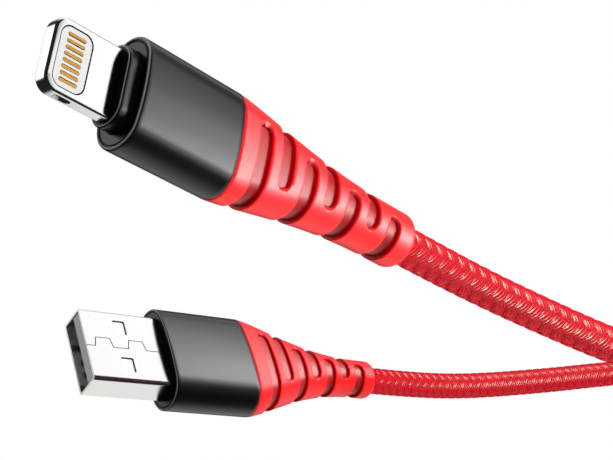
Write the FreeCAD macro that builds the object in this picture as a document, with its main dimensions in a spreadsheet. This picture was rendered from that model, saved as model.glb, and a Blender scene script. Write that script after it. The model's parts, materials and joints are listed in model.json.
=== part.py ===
import FreeCAD, Part
import Sketcher
import math
import os
import re

# Braided charging cable, about one metre from tip to tip, in millimetres.
#
# The cable hangs as it would from a peg. The origin is the point where the peg bears on the
# inner side of the coil, at its top. +Z is up, the coil lies in the XZ plane, and its first
# layer faces -Y. The phone plug hangs on the -X side and the USB-A plug on the +X side.
#
# Both plugs are drawn in a frame of their own: x runs from the tip to the cord, y across the
# width and z through the thickness. The plug's placement then turns and moves every piece.

Vector = FreeCAD.Vector

SIZES = {
    # cord
    "cord_dia": 4.2,
    "jacket_dia": 3.3,
    "core_dia": 0.6,
    "core_ring": 0.72,
    "turn_step": 4.7,
    "layer_step": 4.7,
    "outer_turn": 30.3,
    "inner_turn_top": 19.725,
    "tie_wide": 12.0,
    "tie_thick": 1.2,
    "tie_room": 0.35,
    # parts that both plugs share
    "play": 0.03,
    "fit_gap": 0.05,
    "end_share": 0.92,
    "boot_end_dia": 5.95,
    "boot_end_edge": 0.7,
    "boot_wall": 0.42,
    "boot_ring": 1.6,
    "taper_start": 1.35,
    "wide_taper": 2.95,
    "thick_taper": 2.3,
    "slot_wide": 1.8,
    "reach_below": 0.65,
    "reach_below_fall": 0.38,
    "jacket_reach": 1.7,
    "crimp_dia": 4.0,
    "crimp_long": 2.2,
    "joint_wide": 0.9,
    "joint_long": 0.9,
    "joint_foot": 0.2,
    "wire_lift": 0.35,
    # phone plug: where it hangs
    "phone_tip_x": -49.7,
    "phone_tip_y": 13.5,
    "phone_tip_z": -170.85,
    "phone_bearing": -28.6,
    "phone_lean": 19.8,
    "phone_spin": 18.7,
    # phone plug: steel tab
    "tab_wide": 6.7,
    "tab_thick": 1.5,
    "tab_long": 11.0,
    "tab_corner": 1.3,
    "tab_edge": 0.25,
    "window_start": 0.6,
    "window_end": 4.05,
    "window_wide": 5.6,
    "window_corner": 1.0,
    "notch_place": 2.5,
    "notch_long": 1.8,
    "notch_high": 0.8,
    "notch_deep": 0.35,
    # phone plug: contacts and board
    "plate_sunk": 0.05,
    "plate_gap": 0.06,
    "contact_count": 8,
    "contact_step": 0.6,
    "contact_place": 2.3,
    "contact_long": 1.9,
    "contact_wide": 0.28,
    "contact_gap": 0.1,
    "contact_proud": 0.02,
    "board_thick": 0.6,
    "board_wide": 5.3,
    "board_start": 0.95,
    "board_tail": 11.3,
    "board_tail_wide": 6.4,
    "board_end": 15.4,
    "pad_step": 1.4,
    # phone plug: shield, collar, housing
    "phone_shield_start": 11.1,
    "phone_shield_end": 17.0,
    "phone_shield_wide": 7.4,
    "phone_shield_thick": 3.4,
    "shield_wall": 0.2,
    "collar_front": 7.0,
    "collar_end": 9.9,
    "collar_wide": 7.8,
    "collar_thick": 3.9,
    "flange_start": 9.25,
    "flange_wide": 8.9,
    "flange_thick": 4.3,
    "phone_front": 8.45,
    "phone_back": 20.15,
    "phone_wide": 10.8,
    "phone_thick": 6.0,
    "phone_wall": 0.6,
    "phone_front_wall": 0.7,
    "rim": 0.22,
    "phone_cord_face": 17.5,
    "phone_boot_end": 46.3,
    "phone_slot_first": 3.1,
    "phone_slot_step": 6.45,
    "phone_slot_stagger": 3.15,
    "phone_reach_above": 0.54,
    # USB-A plug: where it hangs
    "usb_tip_x": 26.5,
    "usb_tip_y": -9.3,
    "usb_tip_z": -138.2,
    "usb_bearing": 15.8,
    "usb_lean": 8.9,
    "usb_spin": -54.0,
    # USB-A plug: shell, tongue, contacts
    "shell_wide": 12.0,
    "shell_thick": 4.5,
    "shell_long": 18.2,
    "shell_wall": 0.32,
    "shell_bend": 0.55,
    "hole_start": 4.95,
    "hole_long": 2.0,
    "hole_wide": 2.45,
    "hole_place": 3.2,
    "hole_corner": 0.25,
    "seam_line": -0.4,
    "seam_rise": 1.5,
    "seam_gap": 0.12,
    "seam_foot": 2.9,
    "seam_head": 2.2,
    "seam_first": 2.75,
    "seam_second": 8.05,
    "tongue_start": 0.15,
    "tongue_wide": 11.2,
    "tongue_low": 0.1,
    "tongue_high": 1.9,
    "base_start": 9.4,
    "base_end": 17.5,
    "base_wide": 11.3,
    "base_thick": 3.8,
    "strip_thick": 0.25,
    "strip_end": 20.3,
    "power_start": 1.3,
    "power_wide": 1.2,
    "power_place": 3.5,
    "data_start": 2.3,
    "data_wide": 1.0,
    "data_place": 1.0,
    # USB-A plug: shield and housing
    "usb_shield_start": 18.25,
    "usb_shield_end": 23.2,
    "usb_shield_wide": 10.4,
    "usb_shield_thick": 5.4,
    "usb_front": 12.6,
    "usb_back": 26.9,
    "usb_wide": 16.5,
    "usb_thick": 7.8,
    "usb_wall": 0.8,
    "usb_front_wall": 0.8,
    "usb_cord_face": 24.0,
    "usb_boot_end": 51.75,
    "usb_slot_first": 3.45,
    "usb_slot_step": 6.0,
    "usb_slot_stagger": 2.9,
    "usb_reach_above": 0.64,
}

# Shares of the boot's length at which its oval is drawn; it tapers from the housing's oval to
# a round end.
BOOT_STATIONS = (0.0, 0.06, 0.15, 0.27, 0.41, 0.57, 0.77, 1.0)

# The cord's route from the phone boot's end up to the coil. The first run follows the plug's
# own axis, and the last is upright.
PHONE_ROUTE = [
    (-35.93, 5.99, -127.28),
    (-32.99, 4.39, -117.97),
    (-31.6, 2.3, -107.0),
    (-31.1, -0.6, -91.0),
    (-30.6, -2.7, -70.0),
    (-30.4, -2.8, -48.0),
    (-30.3, -2.35, -30.0),
    (-30.3, -2.35, -21.825),
]

# The same from the USB boot's end up to the coil's other side.
USB_ROUTE = [
    (34.2, -7.12, -87.07),
    (35.76, -6.68, -76.75),
    (35.4, -5.5, -66.0),
    (33.3, -2.6, -52.0),
    (31.3, 0.3, -40.0),
    (30.3, 2.35, -30.0),
    (30.3, 2.35, -21.825),
]

doc = FreeCAD.newDocument("charging_cable")
sheet = doc.addObject("Spreadsheet::Sheet", "Sizes")
for row, (alias, number) in enumerate(SIZES.items(), start=1):
    sheet.set("A%d" % row, alias)
    sheet.set("B%d" % row, str(number))
    sheet.setAlias("B%d" % row, alias)
doc.recompute()


# Expressions and sketches

def bound(expression):
    """The expression with each size's name pointing at the sheet."""
    return re.sub(r"[a-z_]+", lambda found: "Sizes." + found.group(0)
                  if found.group(0) in SIZES else found.group(0), expression)


def number(expression):
    """What the expression comes to with the sheet's present sizes."""
    return float(sheet.evalExpression(bound(expression)))


def new_body(name):
    body = doc.addObject("PartDesign::Body", name)
    body.Label = name
    body.AllowCompound = True
    return body


def origin_plane(body, role):
    return next(item for item in body.Origin.OriginFeatures if item.Role == role)


def new_sketch(body, role, height="0"):
    """An empty sketch parallel to one of the body's planes, at a height along its normal."""
    sketch = body.newObject("Sketcher::SketchObject", "Outline")
    sketch.AttachmentSupport = [(origin_plane(body, role), "")]
    sketch.MapMode = "FlatFace"
    sketch.AttachmentOffset = FreeCAD.Placement(Vector(0, 0, number(height)), FreeCAD.Rotation())
    sketch.setExpression("AttachmentOffset.Base.z", bound(height))
    return sketch


def drive(sketch, kind, first, second, expression):
    """One dimension between the sketch's origin and a point, or of an edge."""
    if kind in ("DistanceX", "DistanceY"):
        constraint = Sketcher.Constraint(kind, -1, 1, first, second, number(expression))
    else:
        constraint = Sketcher.Constraint(kind, first, number(expression))
    index = sketch.addConstraint(constraint)
    sketch.setExpression("Constraints[%d]" % index, bound(expression))


def draw_polygon(sketch, corners):
    """A closed outline whose corners are pairs of expressions."""
    places = [Vector(number(u), number(v), 0) for u, v in corners]
    lines = []
    for here, there in zip(places, places[1:] + places[:1]):
        lines.append(sketch.addGeometry(Part.LineSegment(here, there)))
    for line, after in zip(lines, lines[1:] + lines[:1]):
        sketch.addConstraint(Sketcher.Constraint("Coincident", line, 2, after, 1))
    for line, (u, v) in zip(lines, corners):
        drive(sketch, "DistanceX", line, 1, u)
        drive(sketch, "DistanceY", line, 1, v)


def draw_rectangle(sketch, left, right, low, high):
    draw_polygon(sketch, [(left, low), (right, low), (right, high), (left, high)])


def draw_box(sketch, wide, high):
    """A rectangle centred on the sketch's origin."""
    draw_rectangle(sketch, "-(%s)/2" % wide, "(%s)/2" % wide, "-(%s)/2" % high, "(%s)/2" % high)


def draw_circle(sketch, diameter, place=("0", "0")):
    circle = Part.Circle(Vector(number(place[0]), number(place[1]), 0), Vector(0, 0, 1),
                         number(diameter) / 2)
    edge = sketch.addGeometry(circle)
    drive(sketch, "DistanceX", edge, 3, place[0])
    drive(sketch, "DistanceY", edge, 3, place[1])
    drive(sketch, "Radius", edge, None, "(%s)/2" % diameter)


def add_arc(sketch, centre, radius, start, end):
    circle = Part.Circle(centre, Vector(0, 0, 1), radius)
    return sketch.addGeometry(Part.ArcOfCircle(circle, math.radians(start), math.radians(end)))


def draw_oval(sketch, wide, high, place="0", level="0"):
    """Two flat sides joined by round ends, each end made of two quarter arcs."""
    reach = "((%s) - (%s)) / 2" % (wide, high)
    right = "(%s) + %s" % (place, reach)
    left = "(%s) - %s" % (place, reach)
    radius = number(high) / 2
    middle_right = Vector(number(right), number(level), 0)
    middle_left = Vector(number(left), number(level), 0)
    up = Vector(0, radius, 0)
    edges = [
        add_arc(sketch, middle_right, radius, 0, 90),
        sketch.addGeometry(Part.LineSegment(middle_right + up, middle_left + up)),
        add_arc(sketch, middle_left, radius, 90, 180),
        add_arc(sketch, middle_left, radius, 180, 270),
        sketch.addGeometry(Part.LineSegment(middle_left - up, middle_right - up)),
        add_arc(sketch, middle_right, radius, 270, 360),
    ]
    for edge, after in zip(edges, edges[1:] + edges[:1]):
        sketch.addConstraint(Sketcher.Constraint("Coincident", edge, 2, after, 1))
    for one, other, middle in ((edges[0], edges[5], right), (edges[2], edges[3], left)):
        sketch.addConstraint(Sketcher.Constraint("Coincident", one, 3, other, 3))
        drive(sketch, "DistanceX", one, 3, middle)
        drive(sketch, "DistanceY", one, 3, level)
        drive(sketch, "Radius", one, None, "(%s)/2" % high)
    drive(sketch, "DistanceY", edges[0], 1, level)
    drive(sketch, "DistanceY", edges[2], 2, level)
    drive(sketch, "DistanceX", edges[1], 1, right)
    drive(sketch, "DistanceX", edges[1], 2, left)
    drive(sketch, "DistanceX", edges[4], 1, left)
    drive(sketch, "DistanceX", edges[4], 2, right)


def draw_crowned_oval(sketch, wide, high, share="end_share"):
    """Two gently crowned sides that meet round ends in tangent points. The ends' radius is a
    share of half the height, and the crown's radius and the meeting points follow from it."""
    end = "((%s) * (%s) / 2)" % (share, high)
    reach = "((%s)/2 - %s)" % (wide, end)
    crown = "((%s^2 + (%s)^2/4 - %s^2) / ((%s) - 2*%s))" % (reach, high, end, high, end)
    across = "%s * %s / (%s - %s)" % (reach, crown, crown, end)
    up = "%s * (%s - (%s)/2) / (%s - %s)" % (end, crown, high, crown, end)
    aside, drop = number(reach), number(crown) - number(high) / 2
    turn = math.degrees(math.atan2(drop, aside))
    edges = [
        add_arc(sketch, Vector(aside, 0, 0), number(end), -turn, turn),
        add_arc(sketch, Vector(0, -drop, 0), number(crown), turn, 180 - turn),
        add_arc(sketch, Vector(-aside, 0, 0), number(end), 180 - turn, 180 + turn),
        add_arc(sketch, Vector(0, drop, 0), number(crown), 180 + turn, 360 - turn),
    ]
    for edge, after in zip(edges, edges[1:] + edges[:1]):
        sketch.addConstraint(Sketcher.Constraint("Coincident", edge, 2, after, 1))
    meetings = [(across, up), ("-" + across, up), ("-" + across, "-" + up), (across, "-" + up)]
    for edge, (u, v), radius in zip(edges, meetings, (end, crown, end, crown)):
        drive(sketch, "DistanceX", edge, 2, u)
        drive(sketch, "DistanceY", edge, 2, v)
        drive(sketch, "Radius", edge, None, radius)


def draw_arch(sketch, middle, wide, low, foot):
    """Upright sides of height foot under a half-round top, standing on low."""
    radius = "(%s) / 2" % wide
    left, right = "(%s) - %s" % (middle, radius), "(%s) + %s" % (middle, radius)
    spring = "(%s) + (%s)" % (low, foot)
    corners = [(left, spring), (left, low), (right, low), (right, spring)]
    places = [Vector(number(u), number(v), 0) for u, v in corners]
    lines = [sketch.addGeometry(Part.LineSegment(here, there))
             for here, there in zip(places, places[1:])]
    top = add_arc(sketch, Vector(number(middle), number(spring), 0), number(radius), 0, 180)
    chain = lines + [top]
    for edge, after in zip(chain, chain[1:] + chain[:1]):
        sketch.addConstraint(Sketcher.Constraint("Coincident", edge, 2, after, 1))
    for line, (u, v) in zip(lines, corners):
        drive(sketch, "DistanceX", line, 1, u)
        drive(sketch, "DistanceY", line, 1, v)
    drive(sketch, "DistanceX", top, 1, right)
    drive(sketch, "DistanceY", top, 1, spring)
    drive(sketch, "DistanceY", top, 3, spring)


def draw_slot(sketch, place, wide, far, near):
    """A slot across the boot: straight sides from far, closed by a half round at near."""
    half = "(%s) / 2" % wide
    left, right = "(%s) - %s" % (place, half), "(%s) + %s" % (place, half)
    rises = number(near) > number(far)
    spring = "(%s) - %s" % (near, half) if rises else "(%s) + %s" % (near, half)
    corners = [(left, spring), (left, far), (right, far), (right, spring)]
    if not rises:
        corners = [(right, spring), (right, far), (left, far), (left, spring)]
    places = [Vector(number(u), number(v), 0) for u, v in corners]
    lines = [sketch.addGeometry(Part.LineSegment(here, there))
             for here, there in zip(places, places[1:])]
    start = 0 if rises else 180
    tip = add_arc(sketch, Vector(number(place), number(spring), 0), number(half),
                  start, start + 180)
    chain = lines + [tip]
    for edge, after in zip(chain, chain[1:] + chain[:1]):
        sketch.addConstraint(Sketcher.Constraint("Coincident", edge, 2, after, 1))
    for line, (u, v) in zip(lines, corners):
        drive(sketch, "DistanceX", line, 1, u)
        drive(sketch, "DistanceY", line, 1, v)
    drive(sketch, "DistanceX", tip, 1, corners[-1][0])
    drive(sketch, "DistanceY", tip, 1, spring)
    drive(sketch, "DistanceY", tip, 3, spring)


# Features

def pad(body, sketch, length, symmetric=False, backwards=False):
    """Add the sketch's outline, drawn out along its normal."""
    feature = body.newObject("PartDesign::Pad", "Pad")
    feature.Profile = sketch
    feature.Length = number(length)
    feature.setExpression("Length", bound(length))
    feature.SideType = "Symmetric" if symmetric else "One side"
    feature.Reversed = backwards
    doc.recompute()
    return feature


def pocket(body, sketch, length=None, symmetric=False, along=False):
    """Cut the outline: against the normal or along it, to a depth or right through."""
    before = body.Shape.Volume
    feature = body.newObject("PartDesign::Pocket", "Pocket")
    feature.Profile = sketch
    if length is None:
        feature.Type = "ThroughAll"
    else:
        feature.Length = number(length)
        feature.setExpression("Length", bound(length))
    feature.SideType = "Symmetric" if symmetric else "One side"
    feature.Reversed = along
    doc.recompute()
    if not body.Shape.Volume < before - 1e-6:
        raise RuntimeError("a pocket of %s cuts nothing" % body.Label)
    return feature


def loft(body, sketches, kind="PartDesign::AdditiveLoft"):
    feature = body.newObject(kind, "Loft")
    feature.Profile = sketches[0]
    feature.Sections = sketches[1:]
    doc.recompute()
    return feature


def chosen_edges(feature, wanted):
    """Names of the edges for which wanted(edge) holds."""
    return ["Edge%d" % place for place, edge in enumerate(feature.Shape.Edges, start=1)
            if wanted(edge)]


def round_edges(body, radius, wanted):
    """Round the chosen edges of the body's last feature."""
    base = body.Tip
    names = chosen_edges(base, wanted)
    if not names:
        raise RuntimeError("no edge of %s to round" % body.Label)
    feature = body.newObject("PartDesign::Fillet", "Round")
    feature.Base = (base, names)
    feature.Radius = number(radius)
    feature.setExpression("Radius", bound(radius))
    doc.recompute()
    return feature


def pattern(body, feature, axis, span, count):
    """Repeat a feature along one of the body's axes, over a whole span."""
    row = body.newObject("PartDesign::LinearPattern", "Row")
    row.Originals = [feature]
    row.Direction = (origin_plane(body, axis), [""])
    row.Length = number(span)
    row.setExpression("Length", bound(span))
    row.Occurrences = count
    body.Tip = row
    doc.recompute()
    return row


def at(value, wanted):
    return abs(value - wanted) < 1e-4


def runs_along(edge, axis):
    """Whether the edge is straight and parallel to the axis, 0, 1 or 2."""
    if not isinstance(edge.Curve, Part.Line):
        return False
    direction = edge.Curve.Direction
    return at(abs(direction[axis]), 1.0)


def lies_at(edge, axis, *places):
    """Whether the whole edge has one of the coordinates along the axis."""
    box = edge.BoundBox
    low, high = ((box.XMin, box.XMax), (box.YMin, box.YMax), (box.ZMin, box.ZMax))[axis]
    return any(at(low, place) and at(high, place) for place in places)


# Where the plugs hang

def plug_placement(plug, half_turn=False):
    """Lean the upright plug towards a bearing, after spinning it about its own axis."""
    upright = FreeCAD.Rotation(Vector(0, 1, 0), -90)
    spin = FreeCAD.Rotation(Vector(0, 0, 1), number(plug + "_spin"))
    lean = FreeCAD.Rotation(Vector(0, 1, 0), number(plug + "_lean"))
    bearing = FreeCAD.Rotation(Vector(0, 0, 1), number(plug + "_bearing"))
    turn = FreeCAD.Rotation(Vector(1, 0, 0), 180 if half_turn else 0)
    place = Vector(*(number("%s_tip_%s" % (plug, axis)) for axis in "xyz"))
    return FreeCAD.Placement(place, bearing * lean * spin * upright * turn)


def seat(piece, plug, half_turn=False):
    """Put a finished piece where its plug hangs; a half turn makes it the underside's twin."""
    piece.Placement = plug_placement(plug, half_turn)
    for axis in "xyz":
        piece.setExpression("Placement.Base." + axis, bound("%s_tip_%s" % (plug, axis)))
    return piece


def name_of(plug, piece):
    return plug + "_" + piece


# Phone plug

def make_tab_frame():
    """The steel tab: window for the contacts, channel for the board, a latch notch each side."""
    body = new_body("phone_tab_frame")
    outline = new_sketch(body, "XY_Plane")
    draw_rectangle(outline, "0", "tab_long", "-tab_wide/2", "tab_wide/2")
    pad(body, outline, "tab_thick", symmetric=True)
    round_edges(body, "tab_corner", lambda edge: runs_along(edge, 2) and lies_at(edge, 0, 0))
    half = number("tab_thick/2")
    end = number("tab_long")
    round_edges(body, "tab_edge", lambda edge: lies_at(edge, 2, half, -half)
                and not lies_at(edge, 0, end))
    window = new_sketch(body, "XY_Plane")
    draw_rectangle(window, "window_start", "window_end", "-window_wide/2", "window_wide/2")
    pocket(body, window, symmetric=True)
    side = number("window_wide/2")
    round_edges(body, "window_corner", lambda edge: runs_along(edge, 2)
                and lies_at(edge, 1, side, -side))
    channel = new_sketch(body, "YZ_Plane", "tab_long")
    draw_box(channel, "board_wide + 2*play", "board_thick + 2*play")
    pocket(body, channel, "tab_long - window_end + 0.3")
    notch = new_sketch(body, "XZ_Plane", "tab_wide/2")
    draw_oval(notch, "notch_long", "notch_high", "notch_place")
    cut = pocket(body, notch, "notch_deep")
    twin = body.newObject("PartDesign::Mirrored", "Twin")
    twin.Originals = [cut]
    twin.MirrorPlane = (origin_plane(body, "XZ_Plane"), [""])
    body.Tip = twin
    doc.recompute()
    return seat(body, "phone")


def draw_contact_slot(sketch, room):
    """The first bar's outline, with rounded ends, at the low end of the row."""
    draw_oval(sketch, "contact_long + %s" % room, "contact_wide + %s" % room, "contact_place",
              "-contact_step * (contact_count - 1) / 2")


def make_contact_plate(name, half_turn):
    """The insulating plate in the window, with a through slot for each contact."""
    body = new_body(name)
    outline = new_sketch(body, "XY_Plane", "board_thick/2")
    draw_rectangle(outline, "window_start + plate_gap", "window_end - plate_gap",
                   "-window_wide/2 + plate_gap", "window_wide/2 - plate_gap")
    pad(body, outline, "(tab_thick - board_thick)/2 - plate_sunk")
    round_edges(body, "window_corner - plate_gap", lambda edge: runs_along(edge, 2))
    slot = new_sketch(body, "XY_Plane", "board_thick/2")
    draw_contact_slot(slot, "contact_gap")
    cut = pocket(body, slot, along=True)
    pattern(body, cut, "Y_Axis", "contact_step * (contact_count - 1)", int(number("contact_count")))
    return seat(body, "phone", half_turn)


def make_contacts(name, half_turn):
    """Eight plated bars, with rounded ends, that stand on the board and fill the slots."""
    body = new_body(name)
    outline = new_sketch(body, "XY_Plane", "board_thick/2")
    draw_contact_slot(outline, "0")
    bar = pad(body, outline, "(tab_thick - board_thick)/2 - plate_sunk + contact_proud")
    pattern(body, bar, "Y_Axis", "contact_step * (contact_count - 1)", int(number("contact_count")))
    return seat(body, "phone", half_turn)


def make_phone_board():
    body = new_body("phone_circuit_board")
    outline = new_sketch(body, "XY_Plane")
    neck, tail = "board_wide/2", "board_tail_wide/2"
    draw_polygon(outline, [("board_start", "-" + neck), ("board_tail", "-" + neck),
                           ("board_tail", "-" + tail), ("board_end", "-" + tail),
                           ("board_end", tail), ("board_tail", tail),
                           ("board_tail", neck), ("board_start", neck)])
    pad(body, outline, "board_thick", symmetric=True)
    return seat(body, "phone")


def make_phone_chips():
    """The control chip and two capacitors on top of the board's tail, a regulator below."""
    body = new_body("phone_chips")
    for left, right, low, high, tall in (("board_tail + 0.4", "board_tail + 2.6", "-1.2", "1.2", "0.75"),
                                         ("board_tail + 0.5", "board_tail + 1.5", "1.7", "2.2", "0.5"),
                                         ("board_tail + 0.5", "board_tail + 1.5", "-2.2", "-1.7", "0.5")):
        outline = new_sketch(body, "XY_Plane", "board_thick/2")
        draw_rectangle(outline, left, right, low, high)
        pad(body, outline, tall)
    regulator = new_sketch(body, "XY_Plane", "-board_thick/2")
    draw_rectangle(regulator, "board_tail + 0.7", "board_tail + 2.3", "-1", "1")
    pad(body, regulator, "0.55", backwards=True)
    return seat(body, "phone")


def make_joints(plug, start, low, middles):
    """A dome of solder over each wire's end."""
    body = new_body(name_of(plug, "solder_joints"))
    outline = new_sketch(body, "YZ_Plane", start)
    for middle in middles:
        draw_arch(outline, middle, "joint_wide", low, "joint_foot")
    pad(body, outline, "joint_long")
    return seat(body, plug)


def make_shield(plug, name, half_turn):
    """One folded half of the can round the joints: a channel with rounded bends."""
    body = new_body(name)
    wide, tall = "%s_shield_wide/2" % plug, "%s_shield_thick/2" % plug
    inner, under = wide + " - shield_wall", tall + " - shield_wall"
    outline = new_sketch(body, "YZ_Plane", plug + "_shield_start")
    draw_polygon(outline, [("-%s" % wide, "0"), ("-(%s)" % inner, "0"), ("-(%s)" % inner, under),
                           (inner, under), (inner, "0"), (wide, "0"), (wide, tall),
                           ("-%s" % wide, tall)])
    pad(body, outline, "%s_shield_end - %s_shield_start" % (plug, plug))
    top = number(tall)
    round_edges(body, "shield_wall * 1.5", lambda edge: runs_along(edge, 0)
                and lies_at(edge, 2, top))
    return seat(body, plug, half_turn)


def make_inner_mould(plug, front, hollows):
    """The pale moulding that fills the housing: hollows from the front, a bore at the back."""
    body = new_body(name_of(plug, "inner_mould"))
    room = "2*play + 2*%s_wall" % plug
    outline = new_sketch(body, "YZ_Plane", front)
    draw_crowned_oval(outline, "%s_wide - (%s)" % (plug, room), "%s_thick - (%s)" % (plug, room))
    pad(body, outline, "%s_back - (%s)" % (plug, front))
    for start, wide, high, end in hollows:
        hollow = new_sketch(body, "YZ_Plane", start)
        draw_box(hollow, wide, high)
        pocket(body, hollow, "(%s) - (%s)" % (end, start), along=True)
    bore = new_sketch(body, "YZ_Plane", plug + "_back")
    draw_circle(bore, "crimp_dia + 2*play")
    pocket(body, bore, "%s_back - (%s)" % (plug, hollows[-1][3]))
    return seat(body, plug)


def make_collar():
    """The stepped oval that carries the tab; its flange is held behind the housing's front."""
    body = new_body("phone_collar")
    outline = new_sketch(body, "YZ_Plane", "collar_front")
    draw_oval(outline, "collar_wide", "collar_thick")
    pad(body, outline, "collar_end - collar_front")
    front = number("collar_front")
    round_edges(body, "rim*0.8", lambda edge: lies_at(edge, 0, front))
    flange = new_sketch(body, "YZ_Plane", "flange_start")
    draw_oval(flange, "flange_wide", "flange_thick")
    pad(body, flange, "collar_end - flange_start")
    hole = new_sketch(body, "YZ_Plane", "collar_end")
    draw_box(hole, "tab_wide + 2*play", "tab_thick + 2*play")
    pocket(body, hole)
    return seat(body, "phone")


def make_housing(plug, draw_hole):
    """The black oval shell: open at the back, its front wall pierced, the front edge rounded."""
    body = new_body(name_of(plug, "housing"))
    front, back, wall = plug + "_front", plug + "_back", plug + "_wall"
    outline = new_sketch(body, "YZ_Plane", front)
    draw_crowned_oval(outline, plug + "_wide", plug + "_thick")
    pad(body, outline, "%s - %s" % (back, front))
    face = number(front)
    round_edges(body, "rim", lambda edge: lies_at(edge, 0, face))
    inside = new_sketch(body, "YZ_Plane", back)
    draw_crowned_oval(inside, "%s_wide - 2*%s" % (plug, wall), "%s_thick - 2*%s" % (plug, wall))
    pocket(body, inside, "%s - %s - %s_front_wall" % (back, front, plug))
    hole = new_sketch(body, "YZ_Plane", back)
    draw_hole(hole)
    pocket(body, hole)
    return body


def make_phone_housing():
    body = make_housing("phone", lambda hole: draw_oval(hole, "collar_wide + 2*play",
                                                        "collar_thick + 2*play"))
    return seat(body, "phone")


def make_crimp_ring(plug):
    """The steel ferrule pressed on the inner jacket."""
    body = new_body(name_of(plug, "crimp_ring"))
    outline = new_sketch(body, "YZ_Plane", plug + "_cord_face + 0.2")
    draw_circle(outline, "crimp_dia")
    draw_circle(outline, "jacket_dia + play")
    pad(body, outline, "crimp_long")
    return seat(body, plug)


def make_cord_end(plug):
    """The cord inside the boot, its braid stripped back from the inner jacket."""
    body = new_body(name_of(plug, "cord_end"))
    jacket = new_sketch(body, "YZ_Plane", plug + "_cord_face")
    draw_circle(jacket, "jacket_dia")
    pad(body, jacket, "%s_boot_end - %s_cord_face" % (plug, plug))
    braid = new_sketch(body, "YZ_Plane", plug + "_back + jacket_reach")
    draw_circle(braid, "cord_dia")
    pad(body, braid, "%s_boot_end - %s_back - jacket_reach" % (plug, plug))
    return seat(body, plug)


# Boots, the same for both plugs

def boot_size(plug, side, share):
    """The boot's wide or thick size, which leaves the housing's smoothly and then tapers."""
    return "boot_end_dia + (%s_%s - boot_end_dia) * (1 - %.5f ^ taper_start) ^ %s_taper" % (
        plug, side, share, side)


def boot_oval(plug, share, inset):
    """Width, thickness and the ends' share at a share of the boot's length, less an inset."""
    wide, high = [boot_size(plug, side, share) + " - 2*(%s)" % inset for side in ("wide", "thick")]
    return "max(%s; %s + 0.1)" % (wide, high), high, "end_share + (0.99 - end_share) * %s" % share


def boot_sections(body, plug, end, inset):
    """The boot's ovals from the housing to an end, as sketches."""
    sections = []
    for share in BOOT_STATIONS:
        along = "%s_back + (%s - %s_back) * %s" % (plug, end, plug, share)
        section = new_sketch(body, "YZ_Plane", along)
        draw_crowned_oval(section, *boot_oval(plug, share, inset))
        sections.append(section)
    return sections


def slot_rows(plug):
    """Each slot's place, far side and rounded end: long ones from -y, short ones from +y."""
    start, end, slot = plug + "_back", plug + "_boot_end", plug + "_slot_"
    rows = []
    for index in range(7):
        place = "%s + %sfirst + %sstep * %d + %sstagger * %d" % (start, slot, slot, index // 2,
                                                                 slot, index % 2)
        share = (number(place) - number(start)) / (number(end) - number(start))
        half = "(%s) / 2" % boot_size(plug, "wide", share)
        if index % 2 == 0:
            far, near = "-(%s_wide)" % plug, "(reach_below - reach_below_fall * %.4f) * %s" % (share, half)
        else:
            far, near = "%s_wide" % plug, "-%s_reach_above * %s" % (plug, half)
        rows.append((place, far, near))
    return rows


def make_boot(plug):
    """The red strain relief: a tapering sleeve with staggered slots and a plain end ring."""
    body = new_body(name_of(plug, "boot"))
    end = plug + "_boot_end"
    loft(body, boot_sections(body, plug, end + " - boot_ring", "0"))
    ring = new_sketch(body, "YZ_Plane", end)
    draw_crowned_oval(ring, *boot_oval(plug, 1.0, "0"))
    pad(body, ring, "boot_ring", backwards=True)
    face = number(end)
    round_edges(body, "boot_end_edge", lambda edge: lies_at(edge, 0, face))
    before = body.Shape.Volume
    loft(body, boot_sections(body, plug, end + " - boot_ring", "boot_wall"),
         "PartDesign::SubtractiveLoft")
    if not body.Shape.Volume < before * 0.8:
        raise RuntimeError("the boot isn't hollow")
    hole = new_sketch(body, "YZ_Plane", end)
    draw_circle(hole, "cord_dia + 2*play")
    pocket(body, hole, "boot_ring + 1")
    slots = new_sketch(body, "XY_Plane")
    for place, far, near in slot_rows(plug):
        draw_slot(slots, place, "slot_wide", far, near)
    pocket(body, slots, symmetric=True)
    return seat(body, plug)


def make_boot_core(plug):
    """The paler sleeve under the boot, which shows in the slots."""
    body = new_body(name_of(plug, "boot_core"))
    end = plug + "_boot_end - boot_ring"
    loft(body, boot_sections(body, plug, end, "boot_wall + play"))
    wide_bore = new_sketch(body, "YZ_Plane", end)
    draw_circle(wide_bore, "cord_dia + 2*play")
    pocket(body, wide_bore, "%s - %s_back - jacket_reach" % (end, plug))
    bore = new_sketch(body, "YZ_Plane", end)
    draw_circle(bore, "jacket_dia + 2*play")
    pocket(body, bore)
    return seat(body, plug)


# USB-A plug

def seam_outline():
    """The seam's narrow gap: along the face, up and down round two tabs, there and back."""
    gap = "seam_gap/2"
    upper, lower = [("-1", "seam_line + " + gap)], [("-1", "seam_line - " + gap)]
    for middle in ("seam_first", "seam_second"):
        foot, head = "seam_foot/2", "seam_head/2"
        for side, shift in (("-", "-"), ("+", "+")):
            steps = [(foot, "seam_line"), (head, "seam_line + seam_rise")]
            for reach, height in steps if side == "-" else steps[::-1]:
                edge = "%s %s %s" % (middle, side, reach)
                upper.append(("%s %s %s" % (edge, shift, gap), height + " + " + gap))
                back = "+" if shift == "-" else "-"
                lower.append(("%s %s %s" % (edge, back, gap), height + " - " + gap))
    upper.append(("shell_long + 1", "seam_line + " + gap))
    lower.append(("shell_long + 1", "seam_line - " + gap))
    return lower + upper[::-1]


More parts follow.
